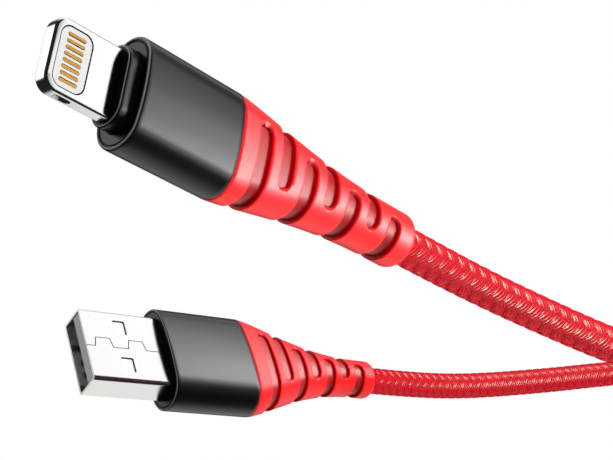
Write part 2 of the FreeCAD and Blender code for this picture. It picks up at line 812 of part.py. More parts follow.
def make_shell():
    """Folded steel: bent corners, latch holes on both faces, the seam on the upper face."""
    body = new_body("usb_shell")
    outline = new_sketch(body, "YZ_Plane")
    draw_box(outline, "shell_wide", "shell_thick")
    pad(body, outline, "shell_long")
    round_edges(body, "shell_bend", lambda edge: runs_along(edge, 0))
    inside = new_sketch(body, "YZ_Plane")
    draw_box(inside, "shell_wide - 2*shell_wall", "shell_thick - 2*shell_wall")
    pocket(body, inside, along=True)
    side = number("shell_wide/2 - shell_wall")
    round_edges(body, "shell_bend - shell_wall", lambda edge: runs_along(edge, 0)
                and lies_at(edge, 1, side, -side))
    holes = new_sketch(body, "XY_Plane")
    for side in ("-", ""):
        draw_rectangle(holes, "hole_start", "hole_start + hole_long",
                       side + "hole_place - hole_wide/2", side + "hole_place + hole_wide/2")
    pocket(body, holes, symmetric=True)
    ends = number("hole_start"), number("hole_start + hole_long")
    round_edges(body, "hole_corner", lambda edge: runs_along(edge, 2) and lies_at(edge, 0, *ends))
    seam = new_sketch(body, "XY_Plane")
    draw_polygon(seam, seam_outline())
    pocket(body, seam, along=True)
    return seat(body, "usb")


STRIPS = (("power_start", "power_wide", "power_place"), ("data_start", "data_wide", "data_place"))


def strip_sketch(body, start, wide, place, room):
    """The ends of one kind's two strips, one each side of the middle."""
    ends = new_sketch(body, "YZ_Plane", start)
    for side in ("-", ""):
        draw_rectangle(ends, "%s%s - %s/2 - %s" % (side, place, wide, room),
                       "%s%s + %s/2 + %s" % (side, place, wide, room),
                       "tongue_low", "tongue_low + strip_thick + " + room)
    return ends


def make_tongue():
    """The insulator: a thin tongue under the seam face, on a base that fills the shell."""
    body = new_body("usb_tongue")
    base = new_sketch(body, "YZ_Plane", "base_start")
    draw_box(base, "base_wide", "base_thick")
    pad(body, base, "base_end - base_start")
    tongue = new_sketch(body, "YZ_Plane", "tongue_start")
    draw_rectangle(tongue, "-tongue_wide/2", "tongue_wide/2", "tongue_low", "tongue_high")
    pad(body, tongue, "base_start - tongue_start")
    for start, wide, place in STRIPS:
        pocket(body, strip_sketch(body, start, wide, place, "play"), along=True)
    return seat(body, "usb")


def make_strips(name, start, wide, place):
    """Two spring strips of one kind, from the tongue's lower face to the solder tails."""
    body = new_body(name)
    pad(body, strip_sketch(body, start, wide, place, "0"), "strip_end - %s" % start)
    return seat(body, "usb")


def make_usb_housing():
    body = make_housing("usb", lambda hole: draw_box(hole, "shell_wide + 2*play",
                                                     "shell_thick + 2*play"))
    return seat(body, "usb")


# Tubes: wires and cord

def bend_radius(before, corner, after):
    """The largest arc that the two runs at a corner leave room for."""
    one, other = corner - before, after - corner
    half_turn = one.getAngle(other) / 2
    return 0.45 * min(one.Length, other.Length) / math.tan(half_turn)


def route_edges(points):
    """Straight runs joined by tangent arcs, and the arcs' radii."""
    edges, radii = [], []
    here = points[0]
    for before, corner, after in zip(points, points[1:], points[2:]):
        radius = bend_radius(before, corner, after)
        radii.append(radius)
        back, ahead = (before - corner).normalize(), (after - corner).normalize()
        half_turn = (corner - before).getAngle(after - corner) / 2
        reach = radius * math.tan(half_turn)
        start, end = corner + back * reach, corner + ahead * reach
        inward = (back + ahead).normalize()
        middle = corner + inward * (radius / math.cos(half_turn) - radius)
        edges.append(Part.LineSegment(here, start).toShape())
        edges.append(Part.Arc(start, middle, end).toShape())
        here = end
    edges.append(Part.LineSegment(here, points[-1]).toShape())
    return edges, radii


def tube(edges, diameter):
    """A round section carried along the edges, its volume checked against the length."""
    path = Part.Wire(edges)
    start = path.Edges[0].valueAt(path.Edges[0].FirstParameter)
    heading = path.Edges[0].tangentAt(path.Edges[0].FirstParameter)
    ring = Part.Wire([Part.Circle(start, heading, diameter / 2).toShape()])
    solid = path.makePipeShell([ring], True, False)
    if isinstance(solid, Part.Shell):
        solid = Part.Solid(solid)
    expected = math.pi * diameter ** 2 / 4 * path.Length
    if abs(solid.Volume / expected - 1) > 0.01:
        raise RuntimeError("a tube's volume is %.3f of its length's" % (solid.Volume / expected))
    return solid


def keep_shape(name, shape, placement=None):
    piece = doc.addObject("Part::Feature", name)
    piece.Label = name
    piece.Shape = shape
    piece.Placement = placement or FreeCAD.Placement()
    return piece


def make_wires(plug, start, low, middles):
    """The four cores: from the solder joints, drawn in to the ring of cores in the cord."""
    ring = number("core_ring")
    places = [(-ring, 0), (0, -ring), (0, ring), (ring, 0)]
    face, height = number(plug + "_cord_face"), number(low) + number("wire_lift")
    begin = number(start + " + joint_long")
    third = (face - begin) / 3
    wires = []
    for colour, middle, (across, lift) in zip(("red", "white", "green", "black"), middles, places):
        points = [Vector(begin, number(middle), height), Vector(begin + third, number(middle), height),
                  Vector(face - third, across, lift), Vector(face, across, lift)]
        edges, _ = route_edges(points)
        wires.append(keep_shape(name_of(plug, "wire_" + colour), tube(edges, number("core_dia")),
                                plug_placement(plug)))
    return wires


# Coil: biarcs through quarter-turn points

def arc_between(start, heading, end):
    """The arc that leaves start along the heading and ends at end."""
    chord = end - start
    along = Vector(chord).normalize()
    aside = (heading - along * heading.dot(along))
    sweep = math.atan2(aside.Length, heading.dot(along))
    bulge = Vector(aside).normalize() * (chord.Length / 2 * math.tan(sweep / 2))
    return Part.Arc(start, start + chord * 0.5 + bulge, end).toShape()


def biarc(start, heading, end, last_heading):
    """Two tangent arcs of equal reach between two points with given headings."""
    chord, both = end - start, heading + last_heading
    spread = 2 * (1 - heading.dot(last_heading))
    reach = (-chord.dot(both) + math.sqrt(chord.dot(both) ** 2 + spread * chord.dot(chord))) / spread
    joint = (start + end + (heading - last_heading) * reach) * 0.5
    back = arc_between(end, last_heading * -1, joint)
    return [arc_between(start, heading, joint), back.reversed()]


QUARTERS = 18


def coil_centre():
    """The hang point is the inner side of the innermost turn, right above the centre."""
    return Vector(0, 0, -(number("inner_turn_top") - number("cord_dia") / 2))


def coil_stop(quarter):
    """Place and heading after some quarter turns, from nine o'clock over the top."""
    middle = QUARTERS / 2
    turns_in = (middle - abs(quarter - middle)) / 4
    radius = number("outer_turn") - number("turn_step") * turns_in
    side = max(-1, min(1, quarter - middle))
    angle = math.radians(180 - 90 * quarter)
    outward = Vector(math.cos(angle), 0, math.sin(angle))
    ahead = Vector(math.sin(angle), 0, -math.cos(angle))
    place = coil_centre() + outward * radius + Vector(0, side * number("layer_step") / 2, 0)
    drift = number("turn_step") / (2 * math.pi * radius)
    heading = Vector(ahead)
    if quarter not in (0, middle, QUARTERS):
        heading += outward * (drift if quarter > middle else -drift)
    if quarter == middle:
        heading += Vector(0, 1, 0) * (1.5 * number("layer_step") / (math.pi * radius))
    return place, heading.normalize()


def coil_edges():
    """A straight stub, the turns spiralling in and out again, and a straight stub."""
    stub = Vector(0, 0, number("cord_dia"))
    stops = [coil_stop(quarter) for quarter in range(QUARTERS + 1)]
    edges = [Part.LineSegment(stops[0][0] - stub, stops[0][0]).toShape()]
    for (start, heading), (end, last_heading) in zip(stops, stops[1:]):
        edges += biarc(start, heading, end, last_heading)
    edges.append(Part.LineSegment(stops[-1][0], stops[-1][0] - stub).toShape())
    return edges


def least_gap(edges, diameter):
    """The smallest clear distance between stretches of the tube that aren't neighbours."""
    points, travelled, lengths = [], 0.0, []
    for edge in edges:
        count = max(2, int(edge.Length / 1.5))
        samples = edge.discretize(Number=count)
        if samples[0].distanceToPoint(points[-1] if points else samples[0]) > 1e-3:
            samples.reverse()
        for place, sample in enumerate(samples[:-1]):
            points.append(sample)
            lengths.append(travelled + edge.Length * place / (count - 1))
        points.append(samples[-1])
        lengths.append(travelled + edge.Length)
        travelled += edge.Length
    apart = 4 * diameter
    nearest = min(one.distanceToPoint(other)
                  for index, one in enumerate(points)
                  for far, other in zip(lengths[index + 1:], points[index + 1:])
                  if far - lengths[index] > apart)
    return nearest - diameter


def make_cord():
    """The two free runs and the coil between them."""
    diameter = number("cord_dia")
    pieces = []
    total = 0.0
    for name, route in (("cord_phone_run", PHONE_ROUTE), ("cord_usb_run", USB_ROUTE)):
        edges, radii = route_edges([Vector(*point) for point in route])
        total += sum(edge.Length for edge in edges)
        print(name, "bend radii in diameters:", [round(radius / diameter, 1) for radius in radii])
        pieces.append(keep_shape(name, tube(edges, diameter)))
    edges = coil_edges()
    coil_length = sum(edge.Length for edge in edges)
    tightest = min(edge.Curve.Radius for edge in edges if isinstance(edge.Curve, Part.Circle))
    print("coil: length %.1f, tightest arc %.1f diameters, least gap to itself %.2f mm"
          % (coil_length, tightest / diameter, least_gap(edges, diameter)))
    pieces.append(keep_shape("cord_coil", tube(edges, diameter)))
    print("free cord length %.1f mm" % (total + coil_length))
    return pieces


def make_tie():
    """The strap round the coil at six o'clock: a rounded frame swept about the coil's axis."""
    body = new_body("cord_tie")
    middle = "-(inner_turn_top - cord_dia/2) - (outer_turn - 1.25*turn_step)"
    for grown in ("tie_room", "tie_room + tie_thick"):
        half_across = "layer_step/2 + cord_dia/2 + " + grown
        half_deep = "turn_step/2 + cord_dia/2 + " + grown
        outline = new_sketch(body, "YZ_Plane")
        draw_rectangle(outline, "-(%s)" % half_across, half_across,
                       "%s - (%s)" % (middle, half_deep), "%s + (%s)" % (middle, half_deep))
        if grown == "tie_room":
            inside = outline
    axis_height = "-(inner_turn_top - cord_dia/2)"
    for outline, kind in ((outline, "PartDesign::Revolution"), (inside, "PartDesign::Groove")):
        line = outline.addGeometry(Part.LineSegment(Vector(0, number(axis_height), 0),
                                                    Vector(5, number(axis_height), 0)), True)
        drive(outline, "DistanceY", line, 1, axis_height)
        drive(outline, "DistanceY", line, 2, axis_height)
        turn = body.newObject(kind, "Turn")
        turn.Profile = outline
        turn.ReferenceAxis = (outline, ["Axis0"])
        turn.Midplane = True
        sweep = "tie_wide / (outer_turn - 1.25*turn_step) * 180 / pi"
        turn.Angle = number(sweep)
        doc.recompute()
        if kind == "PartDesign::Revolution":
            round_edges(body, "tie_thick + 2.4", lambda edge: not lies_at(edge, 1, 0)
                        and edge.BoundBox.XLength > number("tie_wide") * 0.7)
    round_edges(body, "2.4", inner_corner)
    return body


def inner_corner(edge):
    """Whether the edge is one of the four long inner corners of the tie."""
    across = number("layer_step/2 + cord_dia/2 + tie_room")
    return edge.BoundBox.XLength > number("tie_wide") * 0.6 and lies_at(edge, 1, across, -across)


# Everything, checked and written

def build_all():
    pads = ["pad_step * %s" % place for place in ("-1.5", "-0.5", "0.5", "1.5")]
    tails = ["-power_place", "-data_place", "data_place", "power_place"]
    phone_joint, usb_joint = "board_end - 1.1", "strip_end - 1.3"
    shell_room = ("usb_front + usb_front_wall + fit_gap", "shell_wide + 2*play",
                  "shell_thick + 2*play", "shell_long + play")
    usb_can = ("shell_long + play", "usb_shield_wide + 2*play", "usb_shield_thick + 2*play",
               "usb_shield_end + 0.2")
    phone_can = ("collar_end + fit_gap", "phone_shield_wide + 2*play",
                 "phone_shield_thick + 2*play", "phone_shield_end + 0.1")
    usb_low = "tongue_low + strip_thick"
    pieces = [
        make_tab_frame(),
        make_contact_plate("phone_contact_plate_upper", False),
        make_contact_plate("phone_contact_plate_lower", True),
        make_contacts("phone_contacts_upper", False),
        make_contacts("phone_contacts_lower", True),
        make_phone_board(),
        make_phone_chips(),
        make_joints("phone", phone_joint, "board_thick/2", pads),
        make_shield("phone", "phone_shield_upper", False),
        make_shield("phone", "phone_shield_lower", True),
        make_inner_mould("phone", "collar_end + fit_gap", [phone_can]),
        make_collar(),
        make_phone_housing(),
        make_shell(),
        make_tongue(),
        make_strips("usb_contacts_power", *STRIPS[0]),
        make_strips("usb_contacts_data", *STRIPS[1]),
        make_joints("usb", usb_joint, usb_low, tails),
        make_shield("usb", "usb_shield_upper", False),
        make_shield("usb", "usb_shield_lower", True),
        make_inner_mould("usb", shell_room[0], [shell_room, usb_can]),
        make_usb_housing(),
        make_tie(),
    ]
    for plug in ("phone", "usb"):
        pieces += [make_crimp_ring(plug), make_cord_end(plug), make_boot(plug), make_boot_core(plug)]
    pieces += make_wires("phone", phone_joint, "board_thick/2", pads)
    pieces += make_wires("usb", usb_joint, usb_low, tails)
    pieces += make_cord()
    return pieces


def check_document(pieces):
    """Stop if any object failed or any piece isn't a valid solid."""
    doc.recompute()
    for item in doc.Objects:
        if "Invalid" in item.State or "Error" in item.State:
            raise RuntimeError("%s failed: %s" % (item.Label, item.State))
    for piece in pieces:
        shape = piece.Shape
        if shape.isNull() or not shape.isValid() or not shape.Solids:
            raise RuntimeError("%s has no valid solid" % piece.Label)


def main():
    pieces = build_all()
    check_document(pieces)
    for plug in ("phone", "usb"):
        leave = plug_placement(plug).multVec(Vector(number(plug + "_boot_end"), 0, 0))
        print(plug, "cord leaves at", [round(value, 2) for value in leave])
    os.makedirs("parts", exist_ok=True)
    for piece in pieces:
        piece.Shape.exportStep("parts/%s.step" % piece.Label)
    print(len(pieces), "nodes")


main()
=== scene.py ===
"""Looks of the braided charging cable, in metres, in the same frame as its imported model."""

import json
import math

import bmesh
import bpy
import numpy as np
from mathutils import Matrix, Vector

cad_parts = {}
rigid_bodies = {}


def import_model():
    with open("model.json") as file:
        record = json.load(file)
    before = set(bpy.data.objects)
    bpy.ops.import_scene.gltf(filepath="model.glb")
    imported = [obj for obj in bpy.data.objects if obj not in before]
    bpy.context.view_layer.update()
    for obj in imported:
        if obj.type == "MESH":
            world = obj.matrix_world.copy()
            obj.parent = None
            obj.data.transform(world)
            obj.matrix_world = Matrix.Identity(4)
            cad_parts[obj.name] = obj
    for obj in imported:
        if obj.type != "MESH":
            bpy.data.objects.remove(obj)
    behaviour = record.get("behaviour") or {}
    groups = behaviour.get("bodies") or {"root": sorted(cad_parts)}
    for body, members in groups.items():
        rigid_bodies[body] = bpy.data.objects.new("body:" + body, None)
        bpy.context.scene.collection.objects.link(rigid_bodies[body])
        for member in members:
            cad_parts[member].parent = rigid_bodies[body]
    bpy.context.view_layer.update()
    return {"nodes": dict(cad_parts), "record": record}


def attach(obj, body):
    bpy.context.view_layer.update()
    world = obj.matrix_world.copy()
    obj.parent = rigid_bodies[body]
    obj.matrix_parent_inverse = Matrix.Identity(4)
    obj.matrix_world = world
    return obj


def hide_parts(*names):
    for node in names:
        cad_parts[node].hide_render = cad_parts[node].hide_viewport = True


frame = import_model()
slot_of = {row["node"]: row["material_slot"] for row in frame["record"]["subparts"]}
MM = 0.001


def add_object(name, data):
    """A new object of the scene, at the origin."""
    made = bpy.data.objects.new(name, data)
    bpy.context.scene.collection.objects.link(made)
    return made


# Camera: the photograph's viewpoint, rolled so that the picture's right is the world's up

CAMERA_AT = np.array([-155.81, -11.43, -199.76]) * MM
CAMERA_RIGHT = np.array([-0.4701, 0.1390, 0.8716])
CAMERA_DOWN = np.array([0.0438, -0.9826, 0.1803])
CAMERA_AHEAD = np.array([0.8815, 0.1229, 0.4558])
SENSOR_WIDTH, LENS = 36.0, 79.39
CLIP_START, CLIP_END = 0.01, 10.0


def make_camera():
    """A 36 mm wide sensor behind a 79.4 mm lens, looking up at the hanging plugs."""
    ahead = Vector(CAMERA_AHEAD).normalized()
    down = Vector(CAMERA_DOWN)
    down = (down - ahead * down.dot(ahead)).normalized()
    right = down.cross(ahead)
    data = bpy.data.cameras.new("camera")
    data.sensor_width, data.lens = SENSOR_WIDTH, LENS
    data.clip_start, data.clip_end = CLIP_START, CLIP_END
    camera = add_object("camera", data)
    turn = Matrix((right, -down, -ahead)).transposed()
    camera.matrix_world = Matrix.Translation(Vector(CAMERA_AT)) @ turn.to_4x4()
    bpy.context.scene.camera = camera


def from_camera(right, down, ahead):
    """A world direction given by its shares along the camera's own axes."""
    return right * CAMERA_RIGHT + down * CAMERA_DOWN + ahead * CAMERA_AHEAD


# The plugs: each has its own frame, in millimetres, x from tip to cord, y across, z through

HOUSING_ROUND = 0.92  # of an oval's ends: 1 would make them half circles
ROUND = 0.99  # as round as an oval with a crown gets
BOOT_POINTS = (44, 104)  # on one end and one crown of a boot's outline
BOOT_END = 5.95  # across the boot's round end
TAPER_START, WIDE_TAPER, THICK_TAPER = 1.35, 2.95, 2.3
SLOTS = 7
LOW_REACH, REACH_FALL = 0.65, 0.38  # of the slots from -y, as shares of half the width


def turn_about(axis, degrees):
    """The 3 by 3 matrix that turns about one of the world's axes, 0, 1 or 2."""
    angle = math.radians(degrees)
    c, s = math.cos(angle), math.sin(angle)
    i, j = (axis + 1) % 3, (axis + 2) % 3
    matrix = np.eye(3)
    matrix[i, i] = matrix[j, j] = c
    matrix[i, j], matrix[j, i] = -s, s
    return matrix


class Plug:
    """A plug's place and sizes. It is upright, spun about its own axis, then leant towards a
    bearing. Its boot runs from back to end. Every second slot is open from -y, and ends past the
    boot's middle by a share that falls towards the end. The others are a stagger behind them,
    open from +y, and end past the middle by one share, high_reach."""

    def __init__(self, name, tip, bearing, lean, spin, back, end, wide, thick,
                 first, step, stagger, high_reach):
        self.name = name
        self.tip = np.array(tip)
        self.axes = (turn_about(2, bearing) @ turn_about(1, lean)
                     @ turn_about(2, spin) @ turn_about(1, -90))
        self.back, self.end = back, end
        self.wide, self.thick = wide, thick
        index = np.arange(SLOTS)
        self.slots = back + first + step * (index // 2) + stagger * (index % 2)
        self.sides = np.where(index % 2, -1, 1)
        low_reach = LOW_REACH - REACH_FALL * self.share(self.slots)
        reach = np.where(index % 2, high_reach, low_reach)
        self.reach = reach * self.boot_size(self.slots, wide, WIDE_TAPER) / 2

    def share(self, x):
        """How far along the boot a length x lies, from 0 to 1."""
        return np.clip((x - self.back) / (self.end - self.back), 0, 1)

    def place(self, points):
        """Points of the plug's own frame, in millimetres, moved to the world, in metres."""
        return (np.asarray(points) @ self.axes.T + self.tip) * MM

    def boot_size(self, x, size, taper):
        """The housing's size, which falls to the end's by one less a power of the share."""
        return BOOT_END + (size - BOOT_END) * (1 - self.share(x) ** TAPER_START) ** taper

    def boot_sections(self, x, inset):
        """The boot's ovals at lengths x, each drawn in by its inset."""
        high = self.boot_size(x, self.thick, THICK_TAPER) - 2 * inset
        wide = self.boot_size(x, self.wide, WIDE_TAPER) - 2 * inset
        roundness = HOUSING_ROUND + (ROUND - HOUSING_ROUND) * self.share(x)
        return oval(np.maximum(wide, high + 0.1), high, roundness, BOOT_POINTS)


PHONE = Plug("phone", tip=(-49.7, 13.5, -170.85), bearing=-28.6, lean=19.8, spin=18.7,
             back=20.15, end=46.3, wide=10.8, thick=6.0,
             first=3.1, step=6.45, stagger=3.15, high_reach=0.54)
USB = Plug("usb", tip=(26.5, -9.3, -138.2), bearing=15.8, lean=8.9, spin=-54.0,
           back=26.9, end=51.75, wide=16.5, thick=7.8,
           first=3.45, step=6.0, stagger=2.9, high_reach=0.64)


# The cord's route, from the phone boot up round the coil and down to the USB boot

PHONE_ROUTE = [
    (-35.93, 5.99, -127.28), (-32.99, 4.39, -117.97), (-31.6, 2.3, -107.0),
    (-31.1, -0.6, -91.0), (-30.6, -2.7, -70.0), (-30.4, -2.8, -48.0),
    (-30.3, -2.35, -30.0), (-30.3, -2.35, -21.8),
]
USB_ROUTE = [
    (34.2, -7.12, -87.07), (35.76, -6.68, -76.75), (35.4, -5.5, -66.0),
    (33.3, -2.6, -52.0), (31.3, 0.3, -40.0), (30.3, 2.35, -30.0),
    (30.3, 2.35, -21.8),
]
COIL_HEIGHT = -17.625
COIL_RADIUS = 30.3
COIL_STEP = 4.7  # from a turn to the next, and from the first layer to the second
QUARTERS = 18
QUARTER_POINTS = 3


def coil_route():
    """Twelve points a turn: the radius falls steadily to the middle of the coil's length and
    grows again, where the cord also climbs to the second layer. Each run between two points
    touches the turn at its middle, so the points stand out by one over cos 15 degrees."""
    quarter = (np.arange(QUARTER_POINTS * QUARTERS) + 0.5) / QUARTER_POINTS
    middle = QUARTERS / 2
    radius = COIL_RADIUS - COIL_STEP * (middle - np.abs(quarter - middle)) / 4
    angle = np.radians(180 - 90 * quarter)
    side = np.clip(quarter - middle, -1, 1) * COIL_STEP / 2
    out = radius / math.cos(math.radians(90 / QUARTER_POINTS / 2))
    return np.stack([out * np.cos(angle), side, COIL_HEIGHT + out * np.sin(angle)], 1)


def cord_line():
    """The cord's centreline as points, read from a smooth spline through the whole route."""
    route = np.concatenate([PHONE_ROUTE, coil_route(), USB_ROUTE[::-1]]) * MM
    curve = bpy.data.curves.new("cord_route", "CURVE")
    curve.dimensions = "3D"
    curve.resolution_u = 24
    spline = curve.splines.new("NURBS")
    spline.points.add(len(route) - 1)
    spline.points.foreach_set("co", np.c_[route, np.ones(len(route))].ravel())
    spline.order_u = 3
    spline.use_endpoint_u = True
    holder = add_object("cord_route", curve)
    bpy.context.view_layer.update()
    evaluated = holder.evaluated_get(bpy.context.evaluated_depsgraph_get())
    mesh = bpy.data.meshes.new_from_object(evaluated)
    line = np.empty(len(mesh.vertices) * 3)
    mesh.vertices.foreach_get("co", line)
    bpy.data.objects.remove(holder)
    bpy.data.meshes.remove(mesh)
    return line.reshape(-1, 3)


class Line:
    """A centreline that can be read at any length along it, with two directions across it."""

    def __init__(self, points):
        step = np.linalg.norm(np.diff(points, axis=0), axis=1)
        points = points[np.r_[True, step > 1e-9]]
        step = np.linalg.norm(np.diff(points, axis=0), axis=1)
        self.points = points
        self.at = np.r_[0, np.cumsum(step)]
        self.length = self.at[-1]
        ahead = np.gradient(points, self.at, axis=0)
        ahead /= np.linalg.norm(ahead, axis=1)[:, None]
        side = np.array([0.0, 1.0, 0.0])
        first = side - ahead * (ahead @ side)[:, None]
        first /= np.linalg.norm(first, axis=1)[:, None]
        self.ahead = ahead
        self.first = first
        self.second = np.cross(ahead, first)

    def read(self, values, where):
        """Values given at the line's points, at other lengths along it."""
        return np.stack([np.interp(where, self.at, values[:, k]) for k in range(3)], -1)

    def around(self, where, angle, radius):
        """The point at a length along the line, an angle round it and a radius from it. Past its
        ends the line goes straight on."""
        beyond = where - np.clip(where, 0, self.length)
        middle = self.read(self.points, where) + self.read(self.ahead, where) * beyond[..., None]
        across = (self.read(self.first, where) * np.cos(angle)[..., None]
                  + self.read(self.second, where) * np.sin(angle)[..., None])
        return middle + across * radius[..., None]


# Meshes

BOX_STEP, BOX_POINTS = 3, 900


def outward(vertices, faces):
    """The same quads, turned over if they enclose less than nothing."""
    a, b, c, d = (vertices[faces[:, k]] - vertices.mean(0) for k in range(4))
    volume = (np.einsum("ij,ij->i", a, np.cross(b, c)).sum()
              + np.einsum("ij,ij->i", a, np.cross(c, d)).sum())
    return faces if volume > 0 else faces[:, ::-1]


def new_piece(name, vertices, faces, material, uv=None, smooth=True):
    """A mesh of quads at the origin, riding on the cable's one body, with the vertices that the
    quads use. uv has a pair for each vertex."""
    used, faces = np.unique(faces, return_inverse=True)
    faces = faces.reshape(-1, 4).astype(np.int32)
    mesh = bpy.data.meshes.new(name)
    mesh.vertices.add(len(used))
    mesh.vertices.foreach_set("co", vertices[used].astype(np.float32).ravel())
    mesh.loops.add(faces.size)
    mesh.loops.foreach_set("vertex_index", faces.ravel())
    mesh.polygons.add(len(faces))
    mesh.polygons.foreach_set("loop_start", np.arange(0, faces.size, 4, dtype=np.int32))
    mesh.polygons.foreach_set("use_smooth", np.full(len(faces), smooth))
    if uv is not None:
        layer = mesh.uv_layers.new(name="UVMap")
        layer.uv.foreach_set("vector", uv[used][faces.ravel()].astype(np.float32).ravel())
    mesh.update(calc_edges=True)
    mesh.validate()
    mesh.materials.append(material)
    piece = add_object(name, mesh)
    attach(piece, "root")
    return piece


def grid_faces(rows, columns, wrap_rows=False, wrap_columns=False):
    """The quads of a grid of points, numbered row by row."""
    r = np.arange(rows if wrap_rows else rows - 1)
    c = np.arange(columns if wrap_columns else columns - 1)
    r, c = np.meshgrid(r, c, indexing="ij")
    down, right = (r + 1) % rows, (c + 1) % columns
    corners = [r * columns + c, down * columns + c, down * columns + right, r * columns + right]
    return np.stack(corners, -1).reshape(-1, 4)


def tube_faces(rings, sides):
    """The quads of a closed tube: its skin, and strips across its first and last ring."""
    k = np.arange(sides // 2 - 1)
    strips = np.stack([k, k + 1, sides - 2 - k, sides - 1 - k], -1)
    skin = grid_faces(rings, sides, wrap_columns=True)
    return np.concatenate([skin[:, ::-1], strips[:, ::-1], strips + (rings - 1) * sides])


def circle(count):
    """Angles evenly round a full turn."""
    return np.arange(count) / count * 2 * math.pi


def oval(wide, high, roundness, points):
    """Outlines of two gently crowned sides and two round ends, one for each size given. A point
    lies at a radius from its arc's centre. An end's radius is its roundness of half the height.
    The crown's radius is what lets the two meet without a corner."""
    sizes = np.broadcast_arrays(wide, high, roundness)
    wide, high, roundness = (np.atleast_1d(value)[:, None] for value in sizes)
    end = roundness * high / 2
    reach = wide / 2 - end
    big = (reach ** 2 + high ** 2 / 4 - end ** 2) / (high - 2 * end)
    drop = big - high / 2
    turn = np.arctan2(drop, reach)
    right = turn * np.linspace(-1, 1, points[0], endpoint=False)
    top = turn + (math.pi - 2 * turn) * np.linspace(0, 1, points[1], endpoint=False)
    half = np.concatenate([np.stack([reach + end * np.cos(right), end * np.sin(right)], -1),
                           np.stack([big * np.cos(top), big * np.sin(top) - drop], -1)], 1)
    return np.concatenate([half, -half], 1)


def round_box(wide, high, corner):
    """A rectangle with round corners, as points close together all the way round."""
    angle = np.radians(np.arange(0, 360, BOX_STEP) + 0.5)
    turn = np.stack([np.cos(angle), np.sin(angle)], -1)
    corners = np.sign(turn) * (np.array([wide, high]) / 2 - corner) + turn * corner
    ring = np.concatenate([corners, corners[:1]])
    at = np.r_[0, np.cumsum(np.linalg.norm(np.diff(ring, axis=0), axis=1))]
    even = np.linspace(0, at[-1], BOX_POINTS, endpoint=False)
    return np.stack([np.interp(even, at, ring[:, k]) for k in range(2)], -1)


def facing(outline, others):
    """The points of an outline that lie in the same directions from its middle as the others."""
    angle = np.arctan2(outline[:, 1], outline[:, 0])
    wanted = np.arctan2(others[:, 1], others[:, 0])
    radius = np.interp(wanted, angle, np.hypot(*outline.T), period=2 * math.pi)
    return radius[:, None] * np.stack([np.cos(wanted), np.sin(wanted)], -1)


def smooth_step(value):
    """0 below 0, 1 above 1, and three squares less two cubes between."""
    value = np.clip(value, 0, 1)
    return value ** 2 * (3 - 2 * value)


def ring_points(plug, x, sections):
    """World points of a plug's outlines at lengths x, outline by outline."""
    lengths = np.broadcast_to(np.asarray(x)[:, None, None], sections.shape[:2] + (1,))
    return plug.place(np.concatenate([lengths, sections], -1).reshape(-1, 3))


def sweep_ring(name, plug, x, sections, material, rim_highlight=None):
    """A closed skin: outlines at lengths x, the last joined to the first. The last argument says
    how much painted rim highlight each outline gets, from 0 to 1, and is kept in the UV map."""
    rows, columns = sections.shape[:2]
    uv = None
    if rim_highlight is not None:
        uv = np.stack([np.repeat(rim_highlight, columns), np.zeros(rows * columns)], 1)
    vertices = ring_points(plug, x, sections)
    faces = outward(vertices, grid_faces(rows, columns, True, True))
    return new_piece(name, vertices, faces, material, uv)


# Smooth copies of CAD nodes

WINDOW_MIDDLE, WINDOW_LONG, WINDOW_WIDE = 2.33, 1.8, 2.85
SHELL_WIDE, SHELL_FRONT, SHELL_BACK, SHELL_FACE = 5.3, 0.02, 18.1, 1.9
PLATE_MIDDLE, PLATE_SHARES = (2.325, 0), (0.965, 0.978)
MERGE = 2e-6
CREASE = 40


def own_frame(mesh, kind, field, plug):
    """Centres or normals of a mesh's faces, or its vertices, in a plug's own frame."""
    rows = getattr(mesh, kind)
    values = np.empty(len(rows) * 3)
    rows.foreach_get(field, values)
    values = values.reshape(-1, 3)
    return (values if field == "normal" else values / MM - plug.tip) @ plug.axes


def in_window(centre):
    """Inside the tab's window, clear of the tab's outer edges."""
    along, across = np.abs(centre[:, 0] - WINDOW_MIDDLE), np.abs(centre[:, 1])
    return (along < WINDOW_LONG) & (across < WINDOW_WIDE)


def in_shell_wall(centre):
    """Inside the shell's broad faces, clear of its bends and its ends."""
    x, across, through = centre[:, 0], np.abs(centre[:, 1]), np.abs(centre[:, 2])
    return (across < SHELL_WIDE) & (x > SHELL_FRONT) & (x < SHELL_BACK) & (through > SHELL_FACE)


def shade_cuts(mesh, plug, inside, material):
    """Walls of windows, holes and the seam, which turn away from the broad faces, get a second
    material: a near-black painted shade."""
    mesh.materials.append(material)
    centre = own_frame(mesh, "polygons", "center", plug)
    normal = own_frame(mesh, "polygons", "normal", plug)
    walls = inside(centre) & (np.abs(normal[:, 2]) < 0.5)
    mesh.polygons.foreach_set("material_index", walls.astype(np.int32))


def draw_in(mesh, plug):
    """A contact plate's outline, set back a hair from its window all round."""
    points = own_frame(mesh, "vertices", "co", plug)
    points[:, :2] = (points[:, :2] - PLATE_MIDDLE) * PLATE_SHARES + PLATE_MIDDLE
    mesh.vertices.foreach_set("co", plug.place(points).astype(np.float32).ravel())


def smooth_copy(node, material):
    """A merged copy of a node, smooth-shaded apart from edges that turn more than the crease. A
    corner's direction is weighted by its faces' areas, so that flat faces stay flat."""
    mesh = frame["nodes"][node].data.copy()
    if "custom_normal" in mesh.attributes:
        mesh.attributes.remove(mesh.attributes["custom_normal"])
    work = bmesh.new()
    work.from_mesh(mesh)
    bmesh.ops.remove_doubles(work, verts=work.verts, dist=MERGE)
    work.to_mesh(mesh)
    work.free()
    if "plate" in node:
        draw_in(mesh, PHONE)
    mesh.shade_smooth()
    mesh.set_sharp_from_angle(angle=math.radians(CREASE))
    mesh.materials.clear()
    mesh.materials.append(material)
    piece = add_object(node + "_skin", mesh)
    weighted = piece.modifiers.new("weighted", "WEIGHTED_NORMAL")
    weighted.keep_sharp = True
    weighted.weight = 100
    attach(piece, "root")
    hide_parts(node)
    return piece


# Shader arithmetic


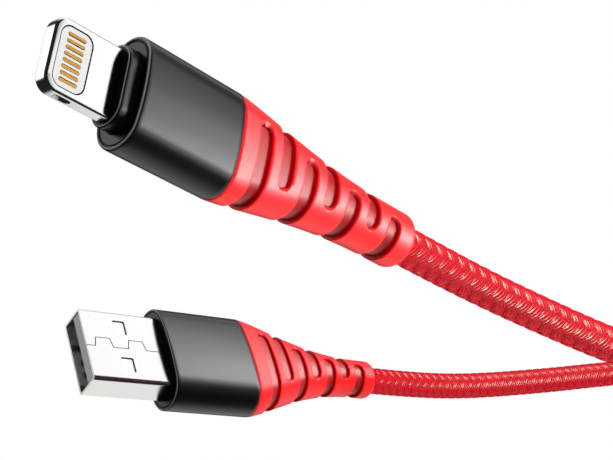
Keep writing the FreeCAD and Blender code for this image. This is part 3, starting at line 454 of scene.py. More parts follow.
class Socket:
    """A node's output, with the arithmetic that adds Math nodes."""

    def __init__(self, shade, socket):
        self.shade = shade
        self.socket = socket

    def maths(self, operation, *values):
        """A Math node on sockets and numbers."""
        return self.shade.node("ShaderNodeMath", {"operation": operation},
                               dict(enumerate(values)))["Value"]

    def __add__(self, other):
        return self.maths("ADD", self, other)

    def __radd__(self, other):
        return self.maths("ADD", other, self)

    def __sub__(self, other):
        return self.maths("SUBTRACT", self, other)

    def __rsub__(self, other):
        return self.maths("SUBTRACT", other, self)

    def __mul__(self, other):
        return self.maths("MULTIPLY", self, other)

    def __rmul__(self, other):
        return self.maths("MULTIPLY", other, self)

    def sine(self):
        """The sine of a value in radians."""
        return self.maths("SINE", self)

    def between(self, low, high):
        """0 below low, 1 above high, and smooth between."""
        return self.shade.node("ShaderNodeMapRange", {"interpolation_type": "SMOOTHSTEP"},
                               {"Value": self, "From Min": low, "From Max": high})["Result"]


class Outputs:
    """A node's outputs, each read as a Socket by its name or number."""

    def __init__(self, shade, node):
        self.shade = shade
        self.made = node

    def __getitem__(self, key):
        return Socket(self.shade, self.made.outputs[key])


class Shade:
    """The node tree of a material or a world, built up from nothing."""

    def __init__(self, owner):
        owner.use_nodes = True
        self.owner = owner
        self.tree = owner.node_tree
        self.tree.nodes.clear()

    def node(self, kind, settings=None, values=None):
        """Any node: its settings first, then a value or a link for each socket."""
        made = self.tree.nodes.new(kind)
        for key, value in (settings or {}).items():
            setattr(made, key, value)
        for key, value in (values or {}).items():
            if isinstance(value, Socket):
                self.tree.links.new(value.socket, made.inputs[key])
            elif made.inputs[key].type == "RGBA":
                made.inputs[key].default_value = (*value, 1)
            else:
                made.inputs[key].default_value = value
        return Outputs(self, made)

    def where(self):
        """Object coordinates: the world's own, in metres."""
        return self.node("ShaderNodeTexCoord")["Object"]

    def own_values(self):
        """The two values that a piece keeps in its UV map."""
        pair = self.node("ShaderNodeUVMap")["UV"]
        parts = self.node("ShaderNodeSeparateXYZ", {}, {0: pair})
        return parts["X"], parts["Y"]

    def noise(self, scale, detail=2.0, roughness=0.5, vector=None):
        """Noise about 0.5, with features of about one over scale metres."""
        values = {"Vector": vector or self.where(), "Scale": scale, "Detail": detail,
                  "Roughness": roughness}
        return self.node("ShaderNodeTexNoise", {}, values)["Fac"]

    def mix(self, factor, first, second):
        """The first colour at factor 0 and the second at 1. A Mix node has a set of sockets for
        each kind of value, so the colours' are known by number."""
        values = {0: factor, 6: first, 7: second}
        return self.node("ShaderNodeMix", {"data_type": "RGBA"}, values)[2]

    def bump(self, height, distance, strength=1.0):
        """A normal tilted by a height, in units of distance metres."""
        values = {"Height": height, "Distance": distance, "Strength": strength}
        return self.node("ShaderNodeBump", {}, values)["Normal"]

    def finish(self, lustre=None, **values):
        """The surface: Principled BSDF sockets by name, with underscores for spaces. lustre is the
        share and colour of a silky gleam over it, which grows no stronger at the silhouette."""
        named = {key.replace("_", " "): value for key, value in values.items()}
        surface = self.node("ShaderNodeBsdfPrincipled", {}, named)["BSDF"]
        if lustre:
            silk = {"Base Color": lustre[1], "Metallic": 1.0, "Roughness": named["Roughness"],
                    "Normal": named["Normal"]}
            silk = self.node("ShaderNodeBsdfPrincipled", {}, silk)["BSDF"]
            both = {0: lustre[0], 1: surface, 2: silk}
            surface = self.node("ShaderNodeMixShader", {}, both)["Shader"]
        self.node("ShaderNodeOutputMaterial", {}, {"Surface": surface})
        return self.owner


# Finishes: colours come in pairs, which a soft noise mixes

GRAIN = 0.000006  # metres, the relief of a moulded skin
# Painted shade and painted light on the braid: its red where a bundle dives under, and where it
# stands out
BRAID_PAINTED_SHADE = (0.30, 0.0, 0.010), (0.42, 0.001, 0.016)
BRAID_LIT = (0.70, 0.003, 0.016), (0.80, 0.006, 0.028)
# Painted shade in the grooves between a bundle's strands
STRAND_GAP_SHADE = (0.40, 0.0, 0.014)
STRAND_TURN, STRAND_WANDER = 30.0, 3.0
STRAND_RELIEF = 0.000088
SILK = 0.04, (1.0, 0.60, 0.50)
# The underlay's very dark red, partly painted shade in the gaps between the bundles
JACKET_SHADE_RED = (0.05, 0.0, 0.002), (0.12, 0.001, 0.005)
BOOT_RED = (0.90, 0.002, 0.004), (0.97, 0.004, 0.007)
# Painted shade down in the boot's slots and on its inner wall
SLOT_SHADE_RED = (0.30, 0.0, 0.002)
CORE_RED = (0.32, 0.002, 0.003), (0.38, 0.004, 0.005)
STEEL_SCALES = (400.0, 400.0, 6000.0)


def grey(tone):
    """A colour with the same red, green and blue."""
    return (tone, tone, tone)


def new_shade(name):
    """The node tree of a new material."""
    return Shade(bpy.data.materials.new(name))


def braid_material():
    """Filament bundles: fine strands along each bundle, with painted shade where it dives under and
    painted light where it stands out. The strands are the waves of a sine of the place across the
    bundle, which wanders a little, and painted shade darkens the grooves between them."""
    shade = new_shade("braided_polyester")
    across, lift = shade.own_values()
    wander = shade.noise(700.0)
    strands = (across * STRAND_TURN + wander * STRAND_WANDER).sine() * 0.5 + 0.5
    tint = shade.noise(260.0)
    shaded_red = shade.mix(tint, *BRAID_PAINTED_SHADE)
    lit = shade.mix(tint, *BRAID_LIT)
    # Painted shade where the bundle dives under, painted light where it stands out
    colour = shade.mix(lift.between(0.15, 0.80), shaded_red, lit)
    # Painted shade between the strands
    colour = shade.mix((1.0 - strands) * 0.24, colour, STRAND_GAP_SHADE)
    return shade.finish(lustre=SILK, Base_Color=colour, Roughness=0.34 + tint * 0.08,
                        Specular_IOR_Level=0.0, Normal=shade.bump(strands, STRAND_RELIEF))


def jacket_material():
    """What shows between the bundles: a very dark red, partly its own colour and partly painted
    shade in the gaps.
    """
    shade = new_shade("cord_underlay")
    grain = shade.noise(2000.0, 3.0)
    return shade.finish(Base_Color=shade.mix(grain, *JACKET_SHADE_RED), Roughness=0.7)


def black_plastic_material():
    """Fine-grained black moulding, with a painted highlight of lighter grey along its rims."""
    shade = new_shade("black_housing_plastic")
    grain = shade.noise(7000.0, 2.0, 0.6)
    cloud = shade.noise(120.0)
    # The UV value marks the rims' painted highlight, a lighter grey mixed into the black
    rim_highlight = shade.own_values()[0]
    plain = shade.mix(cloud, grey(0.001), grey(0.002))
    return shade.finish(Base_Color=shade.mix(rim_highlight * (0.8 + cloud * 0.4), plain, grey(0.22)),
                        Roughness=0.28 + cloud * 0.05, Normal=shade.bump(grain, GRAIN, 0.4))


def boot_material():
    """Soft satin red moulding, with painted shade down in the slots."""
    shade = new_shade("boot_red_elastomer")
    # How far the skin has sunk, which the colour turns into painted shade
    sunk = shade.own_values()[0]
    grain = shade.noise(5000.0)
    cloud = shade.noise(90.0)
    plain = shade.mix(cloud, *BOOT_RED)
    return shade.finish(Base_Color=shade.mix(sunk.between(0.1, 0.7), plain, SLOT_SHADE_RED),
                        Roughness=0.39 + cloud * 0.05, Specular_IOR_Level=0.4,
                        Normal=shade.bump(grain, GRAIN, 0.4))


def core_material():
    """Glossy darker red under the slots."""
    shade = new_shade("boot_core_red")
    cloud = shade.noise(200.0)
    return shade.finish(Base_Color=shade.mix(cloud, *CORE_RED),
                        Roughness=0.33 + cloud * 0.05, Specular_IOR_Level=0.6)


def steel_material(name, tone, roughness):
    """Bright plated steel with faint rubbing marks."""
    shade = new_shade(name)
    values = {"Vector": shade.where(), "Scale": STEEL_SCALES}
    stretched = shade.node("ShaderNodeMapping", {}, values)["Vector"]
    marks = shade.noise(1.0, 3.0, 0.6, stretched)
    smudge = shade.noise(300.0)
    dull = tuple(part * 0.94 for part in tone)
    return shade.finish(Base_Color=shade.mix(smudge, dull, tone), Metallic=1.0,
                        Roughness=roughness + marks * 0.05 + smudge * 0.04,
                        Normal=shade.bump(marks, 0.000002, 0.3))


def plain_material(name, low, high, roughness, scale=800.0, metallic=0.0):
    """A moulded or plated finish that varies a little over the surface."""
    shade = new_shade(name)
    cloud = shade.noise(scale, 3.0)
    grain = shade.noise(scale * 9)
    return shade.finish(Base_Color=shade.mix(cloud, low, high), Metallic=metallic,
                        Roughness=roughness + cloud * 0.08, Normal=shade.bump(grain, GRAIN, 0.3))


# The record's slots, each with its material's name, tone and roughness
STEELS = {
    "tab_metal": ("tab_plating", (0.93, 0.93, 0.91), 0.10),
    "shell_steel": ("shell_plating", (0.90, 0.90, 0.89), 0.14),
    "shield_steel": ("tinned_shield", (0.6, 0.6, 0.6), 0.3),
    "solder": ("solder_joint", (0.7, 0.71, 0.73), 0.25),
}
# The same with two colours, a roughness, and where they aren't the usual, a scale and a metallic
PLAIN_FINISHES = {
    "contact_gold": ("contact_gold", (0.52, 0.28, 0.05), (0.58, 0.32, 0.06), 0.5, 900.0, 1.0),
    "plate_plastic": ("plate_plastic", grey(0.48), grey(0.52), 0.4),
    "board_green": ("board_mask", (0.01, 0.10, 0.04), (0.02, 0.16, 0.06), 0.35),
    "chip_black": ("chip_black", (0.015, 0.015, 0.016), grey(0.03), 0.5),
    "inner_mould": ("inner_mould", (0.60, 0.58, 0.52), (0.68, 0.66, 0.6), 0.5),
    "tongue_plastic": ("tongue_plastic", (0.80, 0.80, 0.79), (0.86, 0.86, 0.85), 0.4),
    "tie_black": ("tie_nap", grey(0.01), grey(0.03), 0.9, 1500.0),
    "wire_red": ("wire_red", (0.5, 0.01, 0.01), (0.65, 0.02, 0.02), 0.4),
    "wire_black": ("wire_black", grey(0.01), grey(0.02), 0.4),
    "wire_white": ("wire_white", (0.75, 0.75, 0.73), (0.85, 0.85, 0.83), 0.4),
    "wire_green": ("wire_green", (0.02, 0.25, 0.06), (0.03, 0.35, 0.09), 0.4),
}


def make_finishes():
    """A finish for each of the record's material slots."""
    made = {slot: steel_material(*row) for slot, row in STEELS.items()}
    made |= {slot: plain_material(*row) for slot, row in PLAIN_FINISHES.items()}
    return made | {"housing_black": black_plastic_material(), "boot_red": boot_material(),
                   "core_red": core_material(), "braid_red": braid_material()}


# Cord

JACKET_RADIUS, JACKET_STEP, JACKET_SIDES = 1.72 * MM, 1.5 * MM, 16
PHONE_LAY, USB_LAY = 7.5 * MM, 6.1 * MM  # the length of a bundle's full turn, at each end
HAND = 4  # bundles that wind the same way
BRAID_MIDDLE, BRAID_RISE = 1.83 * MM, 0.15 * MM
SKIN = 2.05 * MM  # the radius at which widths and slopes are right
BUNDLE_THICK, BUNDLE_SIDES = 0.32 * MM, 16
OVERLAP = 1.04
TOP_FLAT, SIDE_BLUNT, FACE_BLUNT = 1.3, 0.7, 0.8
COLUMN_TURN, COLUMN_DRIFT = -33.5, 4.4  # degrees
PHONE_RUN, USB_RUN = 105.5 * MM, 64.5 * MM  # the cord's free runs, outside the coil
BRAID_LEAD = 0.4 * MM  # how far the braid goes on into a boot
STRETCHES = {"braid_phone_run": 0.2, "braid_coil_a": 0.3, "braid_coil_b": 0.3,
             "braid_coil_c": 0.3, "braid_coil_d": 0.3, "braid_usb_run": 0.22}


def blunt(value, power):
    """A sine or cosine raised to a power below one, with its sign kept."""
    return np.sign(value) * np.abs(value) ** power


def braid_bundles(name, line, start, end, step, phase, material):
    """Eight flat bundles, four winding each way, wound a little closer towards the USB end. On
    every second column of 45 degrees round the cord the bundles of one hand lie on top, and on
    the others those of the other hand: a bundle's height goes as the cosine of four times its
    angle, flattened at its tops. Its own section is a blunt ellipse across its run, laid on the
    cord's round and wide enough to touch its neighbours. The UV map keeps how far across its
    bundle a point lies, and how far out it stands."""
    along = np.arange(start, end + step, step)
    lay = PHONE_LAY + (USB_LAY - PHONE_LAY) * along / line.length
    turn = 2 * math.pi * line.length / (USB_LAY - PHONE_LAY) * np.log(lay / PHONE_LAY)
    slope = np.arctan(2 * math.pi * SKIN / lay)[None, :, None]
    wide = OVERLAP * 2 * math.pi * SKIN / HAND * np.cos(slope)
    ring = circle(BUNDLE_SIDES)
    hand = np.repeat([1.0, -1.0], HAND)[:, None]
    first = np.tile(circle(HAND), 2)[:, None]
    angle = first + hand * turn[None, :]
    wave = np.tanh(TOP_FLAT * np.cos(HAND * angle)) / math.tanh(TOP_FLAT)
    height = (BRAID_MIDDLE + hand * wave * BRAID_RISE)[:, :, None]
    aside = blunt(np.cos(ring), SIDE_BLUNT) * wide / 2
    rise = blunt(np.sin(ring), FACE_BLUNT) * BUNDLE_THICK / 2
    where = along[None, :, None] + aside * np.sin(slope)
    where = np.broadcast_to(where, angle.shape + (BUNDLE_SIDES,))
    bend = hand[:, :, None] * aside * np.cos(slope) / SKIN
    places = line.around(where, (angle + phase(along))[:, :, None] - bend, height + rise)
    bundles, samples, sides = where.shape
    one = tube_faces(samples, sides)
    faces = [outward(tube.reshape(-1, 3), one) + k * samples * sides
             for k, tube in enumerate(places)]
    across = np.broadcast_to(0.5 - 0.5 * np.cos(ring), where.shape)
    # How far a point stands out, which the braid's colour turns into painted shade and painted
    # light
    lift = 0.6 * (0.5 + 0.5 * hand * wave)[:, :, None] + 0.4 * (0.5 + 0.5 * np.sin(ring))
    return new_piece(name, places.reshape(-1, 3), np.concatenate(faces), material,
                     np.stack([across.ravel(), lift.ravel()], 1))


def make_cord(finishes):
    """The jacket takes the place of the cord's own nodes, which are hidden; the braid lies on it in
    stretches.
    """
    line = Line(cord_line())
    total = line.length
    samples = np.append(np.arange(0, total, JACKET_STEP), total)
    where, angle = np.meshgrid(samples, circle(JACKET_SIDES), indexing="ij")
    places = line.around(where, angle, np.full_like(where, JACKET_RADIUS)).reshape(-1, 3)
    jacket = new_piece("cord_jacket", places, tube_faces(*where.shape), jacket_material())
    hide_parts("cord_phone_run", "cord_coil", "cord_usb_run")
    coil_start, coil_end = PHONE_RUN, total - USB_RUN

    def phase(along):
        """Columns face the camera at the same place on both free runs."""
        share = np.clip((along - coil_start) / (coil_end - coil_start), 0, 1)
        return np.radians(COLUMN_TURN - COLUMN_DRIFT * share)

    coil_cuts = np.linspace(coil_start, coil_end, len(STRETCHES) - 1)
    cuts = np.r_[-BRAID_LEAD, coil_cuts, total + BRAID_LEAD]
    parts = [braid_bundles(name, line, start, end, step * MM, phase, finishes["braid_red"])
             for (name, step), start, end in zip(STRETCHES.items(), cuts, cuts[1:])]


# Boots and cores, in millimetres of the plug's own frame

BOOT_WALL = 0.42
BOOT_RING = 1.6  # the length of the ring past the last slot
END_EDGE, END_ROWS = 0.7, 8  # the ring's rounded edge
BORE, BORE_FLARE, BORE_EDGE = 4.26, 1.05, 0.1
SLOT_HALF = 0.9
EDGE_START, EDGE_WIDTH, TIP_EXTRA = 0.05, 0.13, 0.07
SUNK = 0.999  # the depth from which a slot is open
ROW_STEP, ROW_GAP = 0.4, 0.025
WALL_ROWS = np.linspace(-0.06, 0.09, 6)
TIP_ROWS = np.linspace(-0.7, 0.7, 15)
CORE_GAP, CORE_ROWS = 0.03, 60


def slot_depth(plug, x, y):
    """How far the surface has sunk, from 0 to 1: a soft step of the distance inside the nearest
    slot's outline, which is two straight sides closed by a half round at its reach. The step is
    wider at the half round."""
    depth = np.zeros(np.broadcast(x, y).shape)
    for place, side, reach in zip(plug.slots, plug.sides, plug.reach):
        beyond = np.maximum(side * y - (reach - SLOT_HALF), 0)
        inside = SLOT_HALF - np.hypot(x - place, beyond)
        width = EDGE_WIDTH + TIP_EXTRA * (beyond > 0)
        depth = np.maximum(depth, smooth_step((inside + EDGE_START) / width))
    return depth


def boot_rows(plug):
    """Lengths along the boot: closest at the slots' sides, close inside them for their round
    ends, and wider apart between them."""
    rows = [np.arange(plug.back, plug.end - BOOT_RING, ROW_STEP)]
    for place in plug.slots:
        rows += [place - SLOT_HALF + WALL_ROWS, place + SLOT_HALF - WALL_ROWS, place + TIP_ROWS]
    kept = [plug.back]
    for row in np.sort(np.concatenate(rows)):
        if row - kept[-1] > ROW_GAP:
            kept.append(row)
    return np.array(kept + [plug.end - BOOT_RING])


def bore_outlines(count):
    """The same near-circle round the cord, count times."""
    return np.repeat(oval(BORE + 0.02, BORE, ROUND, BOOT_POINTS), count, 0)


def make_boot(plug, material):
    """The slotted sleeve: its skin sinks to the wall's depth inside each slot, and there both it
    and the inner wall are open. A rounded end ring leads to the bore and back inside. The UV map
    keeps the painted shade in the slots: how far the skin has sunk, and all of it on the inner
    wall."""
    x = boot_rows(plug)
    flat = plug.boot_sections(x, 0.0)
    columns = flat.shape[1]
    depth = slot_depth(plug, x[:, None], flat[:, :, 0])
    inner = plug.boot_sections(x, BOOT_WALL)
    outer = flat + (inner - flat) * depth[:, :, None]
    turn = np.radians(np.linspace(0, 90, END_ROWS))
    ring_x = np.linspace(plug.end - BOOT_RING, plug.end - END_EDGE, 4)[1:-1]
    end_x = np.concatenate([ring_x, plug.end - END_EDGE + END_EDGE * np.sin(turn)])
    end = plug.boot_sections(end_x, np.r_[0, 0, END_EDGE * (1 - np.cos(turn))])
    bore = bore_outlines(3)
    bore[0] *= BORE_FLARE
    bore_x = np.array([plug.end, plug.end - BORE_EDGE, plug.end - BOOT_RING])
    lengths = np.concatenate([x, end_x, bore_x, x[::-1]])
    vertices = ring_points(plug, lengths, np.concatenate([outer, end, bore, inner[::-1]]))
    rows = len(lengths)
    inner_start = rows - len(x)
    # A quad is left out of both walls where its four corners are sunk
    sunk = depth > SUNK
    gone = sunk & np.roll(sunk, -1, 1)
    gone = gone[:-1] & gone[1:]
    keep = np.ones((rows, columns), bool)
    keep[:len(x) - 1] = ~gone
    keep[inner_start:rows - 1] = ~gone[::-1]
    # A sunk point of the skin is the inner wall's own point there, so the slot's edge is closed
    index = np.arange(rows * columns).reshape(rows, columns)
    index[:len(x)] = np.where(sunk, index[inner_start:][::-1], index[:len(x)])
    faces = outward(vertices, grid_faces(rows, columns, True, True))
    faces = index.ravel()[faces[keep.ravel()]]
    # Painted shade: the slots' sunk skin by its depth, and the whole inner wall
    dark = np.ones((rows, columns))
    dark[:len(x)] = depth
    dark[len(x):inner_start] = 0
    uv = np.stack([dark, dark], -1).reshape(-1, 2)
    piece = new_piece(plug.name + "_boot_skin", vertices, faces, material, uv)
    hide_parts(plug.name + "_boot")


def make_core(plug, material):
    """The sleeve that shows in the slots: the boot's taper, drawn in, round the cord's bore."""
    x = np.linspace(plug.back + 0.1, plug.end - BOOT_RING - 0.05, CORE_ROWS)
    sections = np.concatenate([plug.boot_sections(x, BOOT_WALL + CORE_GAP), bore_outlines(2)])
    piece = sweep_ring(plug.name + "_core_skin", plug, np.r_[x, x[-1], x[0]], sections, material)
    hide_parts(plug.name + "_boot_core")


# Housings and collar: a rim's rows are lengths behind the front and insets from the side

SHELL_POINTS = (40, 60)  # on one end and one crown of a shell's outline
FACE_STEPS = np.array([0.05, 0.35, 0.65, 0.95, 0.992, 1.0])
HOLE_EDGE, HOLE_EDGE_DEPTH = 0.012, 0.12
HOUSING_RIM = (
    (0.26, 0.0), (0.18, 0.012), (0.10, 0.045), (0.04, 0.095), (0.008, 0.15), (0.0, 0.2),
    (0.003, 0.26), (0.02, 0.31), (0.09, 0.345), (0.15, 0.37), (0.16, 0.42), (0.13, 0.47),
    (0.07, 0.50), (0.05, 0.56),
)
COLLAR_FRONT, COLLAR_WIDE, COLLAR_THICK = 7.0, 7.8, 3.9
FLANGE_FRONT, FLANGE_BACK, FLANGE_WIDE, FLANGE_THICK = 9.25, 9.9, 8.9, 4.3
COLLAR_RIM = (
    (0.2, 0.0), (0.12, 0.015), (0.06, 0.05), (0.015, 0.10), (0.0, 0.15), (0.004, 0.20),
    (0.02, 0.24), (0.08, 0.27), (0.13, 0.30), (0.13, 0.35), (0.09, 0.39), (0.05, 0.43),
)
SMOOTH_COPIES = (
    "phone_tab_frame", "phone_contacts_upper", "phone_contacts_lower",
    "phone_contact_plate_upper", "phone_contact_plate_lower", "usb_shell", "usb_tongue",
)


def rimmed_shell(plug, part, profile, roundness, hole, material):
    """An oval shell round a hole: outlines from a profile of lengths, widths, heights and a share
    of painted rim highlight, then the front face in steps to the hole's outline, close together at
    both of its edges, and back through the hole."""
    x, wide, high, rim_highlight = np.array(profile).T
    outlines = oval(wide, high, roundness, SHELL_POINTS)
    rim, front, through = outlines[-1], x[-1], x[0]
    face = rim + (facing(hole, rim) - rim) * FACE_STEPS[:, None, None]
    face[-1] = facing(hole * (1 + HOLE_EDGE), rim)
    wall = facing(hole * (1 - HOLE_EDGE), rim)
    lengths = np.r_[x, np.full(len(face), front), front + HOLE_EDGE_DEPTH, through]
    rim_highlight = np.r_[rim_highlight, np.zeros(len(lengths) - len(rim_highlight))]
    sections = np.concatenate([outlines, face, [wall, wall]])
    node = plug.name + part
    piece = sweep_ring(node + "_skin", plug, lengths, sections, material, rim_highlight)
    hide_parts(node)


def housing_profile(plug, front, wall, front_wall):
    """From the front wall's back, round the open back, along the side and over the front rim: a
    rounded edge, a low ridge, a groove inside it and the face, set back a little. The ridge gets
    a painted highlight."""
    back = plug.back
    rows = [(front + front_wall, wall + 0.2), (front + front_wall + 0.2, wall),
            (back - 0.2, wall), (back, wall), (back, 0.03), (back - 0.01, 0.01), (back - 0.03, 0.0)]
    rows += [(x, 0.0) for x in np.linspace(back - 0.5, front + 0.6, 8)]
    rows += [(front + x, inset) for x, inset in HOUSING_RIM]
    # The fourth value is the painted rim highlight, on the ridge rows of the front rim
    return [(x, plug.wide - 2 * inset, plug.thick - 2 * inset,
             0.09 < inset < 0.32 and x < front + 0.1) for x, inset in rows]


def collar_profile():
    """The same on the collar, with its wider flange behind the housing's front."""
    rows = [(x, FLANGE_WIDE, FLANGE_THICK, 0) for x in (FLANGE_BACK, FLANGE_FRONT)]
    sides = [FLANGE_FRONT, *np.linspace(9.0, 7.4, 5)]
    rows += [(x, COLLAR_WIDE, COLLAR_THICK, 0) for x in sides]
    # The fourth value is the painted rim highlight, on the rows at the collar's front edge
    return rows + [(COLLAR_FRONT + x, COLLAR_WIDE - 2 * inset, COLLAR_THICK - 2 * inset, x < 0.03)
                   for x, inset in COLLAR_RIM]


def make_plugs(finishes):
    """The moulded pieces of both plugs, and smooth copies of the pressed and plated ones."""
    for plug in (PHONE, USB):
        make_boot(plug, finishes["boot_red"])
        make_core(plug, finishes["core_red"])
    black = finishes["housing_black"]
    rimmed_shell(PHONE, "_housing", housing_profile(PHONE, front=8.45, wall=0.6, front_wall=0.7),
                 HOUSING_ROUND, oval(7.86, 3.96, ROUND, SHELL_POINTS)[0], black)
    rimmed_shell(USB, "_housing", housing_profile(USB, front=12.6, wall=0.8, front_wall=0.8),
                 HOUSING_ROUND, round_box(12.06, 4.56, 0.55), black)
    rimmed_shell(PHONE, "_collar", collar_profile(), ROUND, round_box(6.76, 1.56, 0.25), black)
    skins = {node: smooth_copy(node, finishes[slot_of[node]]) for node in SMOOTH_COPIES}
    # Painted shade: a dull near-black on the walls inside the shell's holes and seam, the tab's
    # window and the contacts' sides
    edge_shade = plain_material("sheared_edge", grey(0.006), grey(0.012), 0.7, 2000.0)
    shade_cuts(skins["usb_shell"].data, USB, in_shell_wall, edge_shade)
    for node in ("phone_tab_frame", "phone_contacts_upper", "phone_contacts_lower"):
        shade_cuts(skins[node].data, PHONE, in_window, edge_shade)


def dress_nodes(finishes):
    """Finishes for the nodes that stay as they are."""
    spring = plain_material("spring_strip", (0.06, 0.045, 0.02), (0.08, 0.06, 0.03), 0.6)
    for name, node in frame["nodes"].items():
        finish = spring if name.startswith("usb_contacts") else finishes[slot_of[name]]
        node.data.materials.clear()
        node.data.materials.append(finish)


# World: directions are fixed, and a pair of numbers is the cosines where a fade starts and ends

ROOM_DARK, ROOM_PALE = grey(0.015), (0.90, 0.88, 0.865)
ROOM_FRONT, ROOM_MIDDLE, ROOM_LEFT = (-0.05, 0.30), (0.80, 0.88), (-0.50, -0.20)
DIM_PATCH, DIM_FADE, DIM_SHARE = from_camera(0.76, -0.45, 0.47), (0.88, 0.97), 0.8
SIDE_BOX, SIDE_FADE, SIDE_TONE = from_camera(-0.92, -0.32, 0.21), (0.90, 0.96), grey(1.4)
STRIP_NORMAL = from_camera(0.0105, -0.351, -0.936)
STRIP_MIDDLE = from_camera(0.917, -0.370, 0.149)
STRIP_ALONG = from_camera(0.398, 0.861, -0.318)
STRIP_NEAR, STRIP_FAR = (-0.15, -0.02), (0.13, 0.26)
STRIP_START, STRIP_STOP, STRIP_FRONT = (-0.95, -0.7), (0.46, 0.66), (0.0, 0.2)
STRIP_POWER = 1.25


def make_world():
    """White behind the cable. Its surfaces mirror a studio that is fixed in the world: a room,
    pale ahead of the camera, but dark straight ahead, behind and far to the left, and dimmer in a
    patch; a bright box to the left; and one long strip light to the right, along the great circle
    that has the strip's normal."""
    world = bpy.data.worlds.new("studio")
    bpy.context.scene.world = world
    shade = Shade(world)
    direction = shade.node("ShaderNodeTexCoord")["Generated"]

    def share(axis):
        """The direction's part along an axis."""
        return shade.node("ShaderNodeVectorMath", {"operation": "DOT_PRODUCT"},
                          {0: direction, 1: tuple(axis)})["Value"]

    def background(colour, strength=1.0):
        """Even light of one colour."""
        values = {"Color": colour, "Strength": strength}
        return shade.node("ShaderNodeBackground", {}, values)["Background"]

    def either(factor, first, second):
        """The first light at factor 0 and the second at 1."""
        return shade.node("ShaderNodeMixShader", {}, {0: factor, 1: first, 2: second})["Shader"]

    middle = share(CAMERA_AHEAD)
    room = middle.between(*ROOM_FRONT) * (1 - middle.between(*ROOM_MIDDLE))
    room = room * share(CAMERA_RIGHT).between(*ROOM_LEFT)
    room = room * (1 - share(DIM_PATCH).between(*DIM_FADE) * DIM_SHARE)
    side = share(SIDE_BOX).between(*SIDE_FADE)
    off = share(STRIP_NORMAL)
    along = share(STRIP_ALONG)
    ahead = share(STRIP_MIDDLE)
    strip = off.between(*STRIP_NEAR) * (1 - off.between(*STRIP_FAR)) * ahead.between(*STRIP_FRONT)
    strip = strip * along.between(*STRIP_START) * (1 - along.between(*STRIP_STOP))
    pale = shade.mix(side, shade.mix(room, ROOM_DARK, ROOM_PALE), SIDE_TONE)
    studio = either(strip, background(pale), background(grey(1.0), STRIP_POWER))
    seen = shade.node("ShaderNodeLightPath")["Is Camera Ray"]
    surface = either(seen, studio, background(grey(1.0)))
    shade.node("ShaderNodeOutputWorld", {}, {"Surface": surface})


# Lamps and floor

LAMP_TARGET = (0.0, 0.0, -0.12)
# Each plug's strip: degrees along the world's strip, and radiances
STRIPS = {"usb": ((-45.0, 1.6), (-30.0, 4.8), (-15.0, 12.8), (0.0, 12.0)),
          "phone": ((-0.5, 1.0), (14.5, 5.0), (29.5, 14.2), (44.5, 3.0))}
STRIP_OFFSET, STRIP_SIZE, STRIP_DISTANCE = 0.055, (0.263, 0.28), 1.0
# What its radiance is multiplied by, and the pieces that get it
STRIP_GROUPS = (
    ("usb", "gloss", 1.0, ("housing", "core", "tongue")),
    ("usb", "boot", 1.2, ("boot",)),
    ("phone", "gloss", 1.0, ("housing", "collar", "core", "contact_plate_upper",
                             "contacts_upper", "contact_plate_lower", "contacts_lower")),
    ("phone", "boot", 3.1, ("boot",)),
)
LAMP_DISTANCE = 0.9
KEY, KEY_SIZE, KEY_RADIANCE = from_camera(0.60, -0.65, -0.46), (0.28, 0.28), 31.0
GLINTS = {"phone": (-0.01, -0.33, -0.91), "coil": (-0.2, -0.5, -0.8), "usb": (-0.50, -0.42, -0.72)}
GLINT_SIZE, GLINT_RADIANCE = (0.52, 0.52), 110.0
# Direction, strength, spread in degrees, and what the names of the pieces that it lights hold
FILLS = {
    "front_fill": ((0.25, -0.35, -0.9), 0.5, 100.0, None),
    "low_fill": ((0.2, 0.95, -0.3), 1.4, 120.0, None),
    "boot_fill": ((0.2, 0.95, -0.3), 0.5, 120.0, "boot_skin"),
    "cord_fill": ((0.0, 0.95, 0.3), 1.3, 60.0, "braid_"),
}
FLOOR_HALF, FLOOR_HEIGHT = 3.0, -0.30


def only(name, pieces):
    """A collection of the pieces that a lamp lights."""
    group = bpy.data.collections.new(name)
    for piece in pieces:
        group.objects.link(piece)
    return group


def pieces_with(part):
    """The pieces whose names hold a part."""
    return [piece for piece in bpy.data.objects if part in piece.name]


def add_lamp(name, data, lit):
    """A lamp of the scene. If lit is given, only those pieces are lit by it."""
    lamp = add_object(name, data)
    if lit is not None:
        lamp.light_linking.receiver_collection = lit
    return lamp


def make_lamp(name, towards, across, distance, size, radiance, lit=None):
    """A rectangle of soft light that faces the plugs, its second side along across."""
    towards = Vector(towards).normalized()
    across = Vector(across)
    across = (across - towards * across.dot(towards)).normalized()
    data = bpy.data.lights.new(name, "AREA")
    data.shape = "RECTANGLE"
    data.size, data.size_y = size
    data.energy = radiance * math.pi * size[0] * size[1]
    lamp = add_lamp(name, data, lit)
    turn = Matrix((across.cross(towards), across, towards)).transposed()
    place = Vector(LAMP_TARGET) + towards * distance
    lamp.matrix_world = Matrix.Translation(place) @ turn.to_4x4()
    return lamp


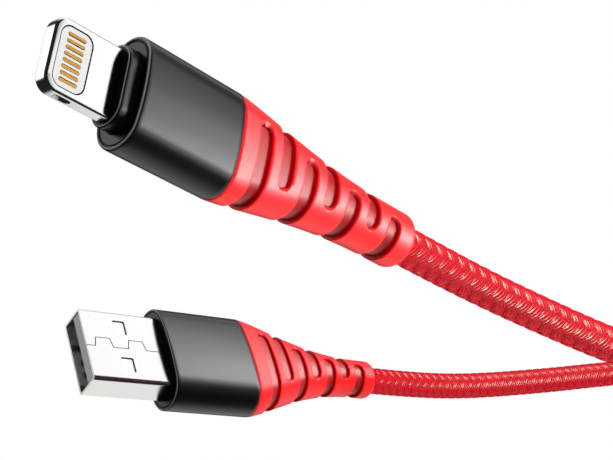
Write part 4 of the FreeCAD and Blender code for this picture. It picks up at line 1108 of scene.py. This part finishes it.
def make_strip(plug, name, pieces, share):
    """Four rectangles side by side along a great circle, where one plug's broad face mirrors
    them: the world's strip light again, brighter and uneven, for some of its pieces alone."""
    lit = only(name, pieces)
    for degrees, radiance in STRIPS[plug]:
        angle = math.radians(degrees)
        towards = STRIP_MIDDLE * math.cos(angle) + STRIP_ALONG * math.sin(angle)
        make_lamp(name + "_strip", towards + STRIP_NORMAL * STRIP_OFFSET, STRIP_NORMAL,
                  STRIP_DISTANCE, STRIP_SIZE, radiance * share, lit)


def make_fill(name, direction, strength, spread, part):
    """Even light from one side that glossy surfaces don't mirror. If part is given, it lights
    only the pieces whose names hold it."""
    data = bpy.data.lights.new(name, "SUN")
    data.energy = strength
    data.angle = math.radians(spread)
    lamp = add_lamp(name, data, part and only(name + "_lit", pieces_with(part)))
    lamp.rotation_mode = "QUATERNION"
    lamp.rotation_quaternion = Vector(from_camera(*direction)).to_track_quat("Z", "Y")
    lamp.visible_glossy = False


def make_floor():
    """A pale floor well below the hanging cable."""
    corners = np.array([(-1, -1), (1, -1), (1, 1), (-1, 1)]) * FLOOR_HALF
    corners = np.c_[corners, np.full(4, FLOOR_HEIGHT)]
    shade = new_shade("pale_floor")
    cloud = shade.noise(6.0)
    material = shade.finish(Base_Color=shade.mix(cloud, grey(0.80), grey(0.83)), Roughness=0.8)
    floor = new_piece("floor", corners, np.array([[0, 1, 2, 3]]), material, smooth=False)
    floor.visible_diffuse = False
    floor.visible_glossy = False
    floor.visible_shadow = False


def light_studio():
    """The world, a strip for each plug's housing and for its boot, a key lamp that nothing
    mirrors, a glint for each run of the braid, which is only mirrored, and soft fills."""
    bpy.context.scene.view_settings.view_transform = "Standard"
    make_world()
    for plug, group, share, words in STRIP_GROUPS:
        pieces = [bpy.data.objects[f"{plug}_{word}_skin"] for word in words]
        make_strip(plug, f"{plug}_{group}", pieces, share)
    key = make_lamp("key_lamp", KEY, CAMERA_DOWN, LAMP_DISTANCE, KEY_SIZE, KEY_RADIANCE)
    key.visible_glossy = False
    for run, direction in GLINTS.items():
        woven = only(run + "_woven", pieces_with("braid_" + run))
        glint = make_lamp(run + "_glint", from_camera(*direction), CAMERA_RIGHT, LAMP_DISTANCE,
                          GLINT_SIZE, GLINT_RADIANCE, woven)
        glint.visible_diffuse = False
    for name, fill in FILLS.items():
        make_fill(name, *fill)
    make_floor()


make_camera()
finishes = make_finishes()
make_cord(finishes)
make_plugs(finishes)
dress_nodes(finishes)
light_studio()
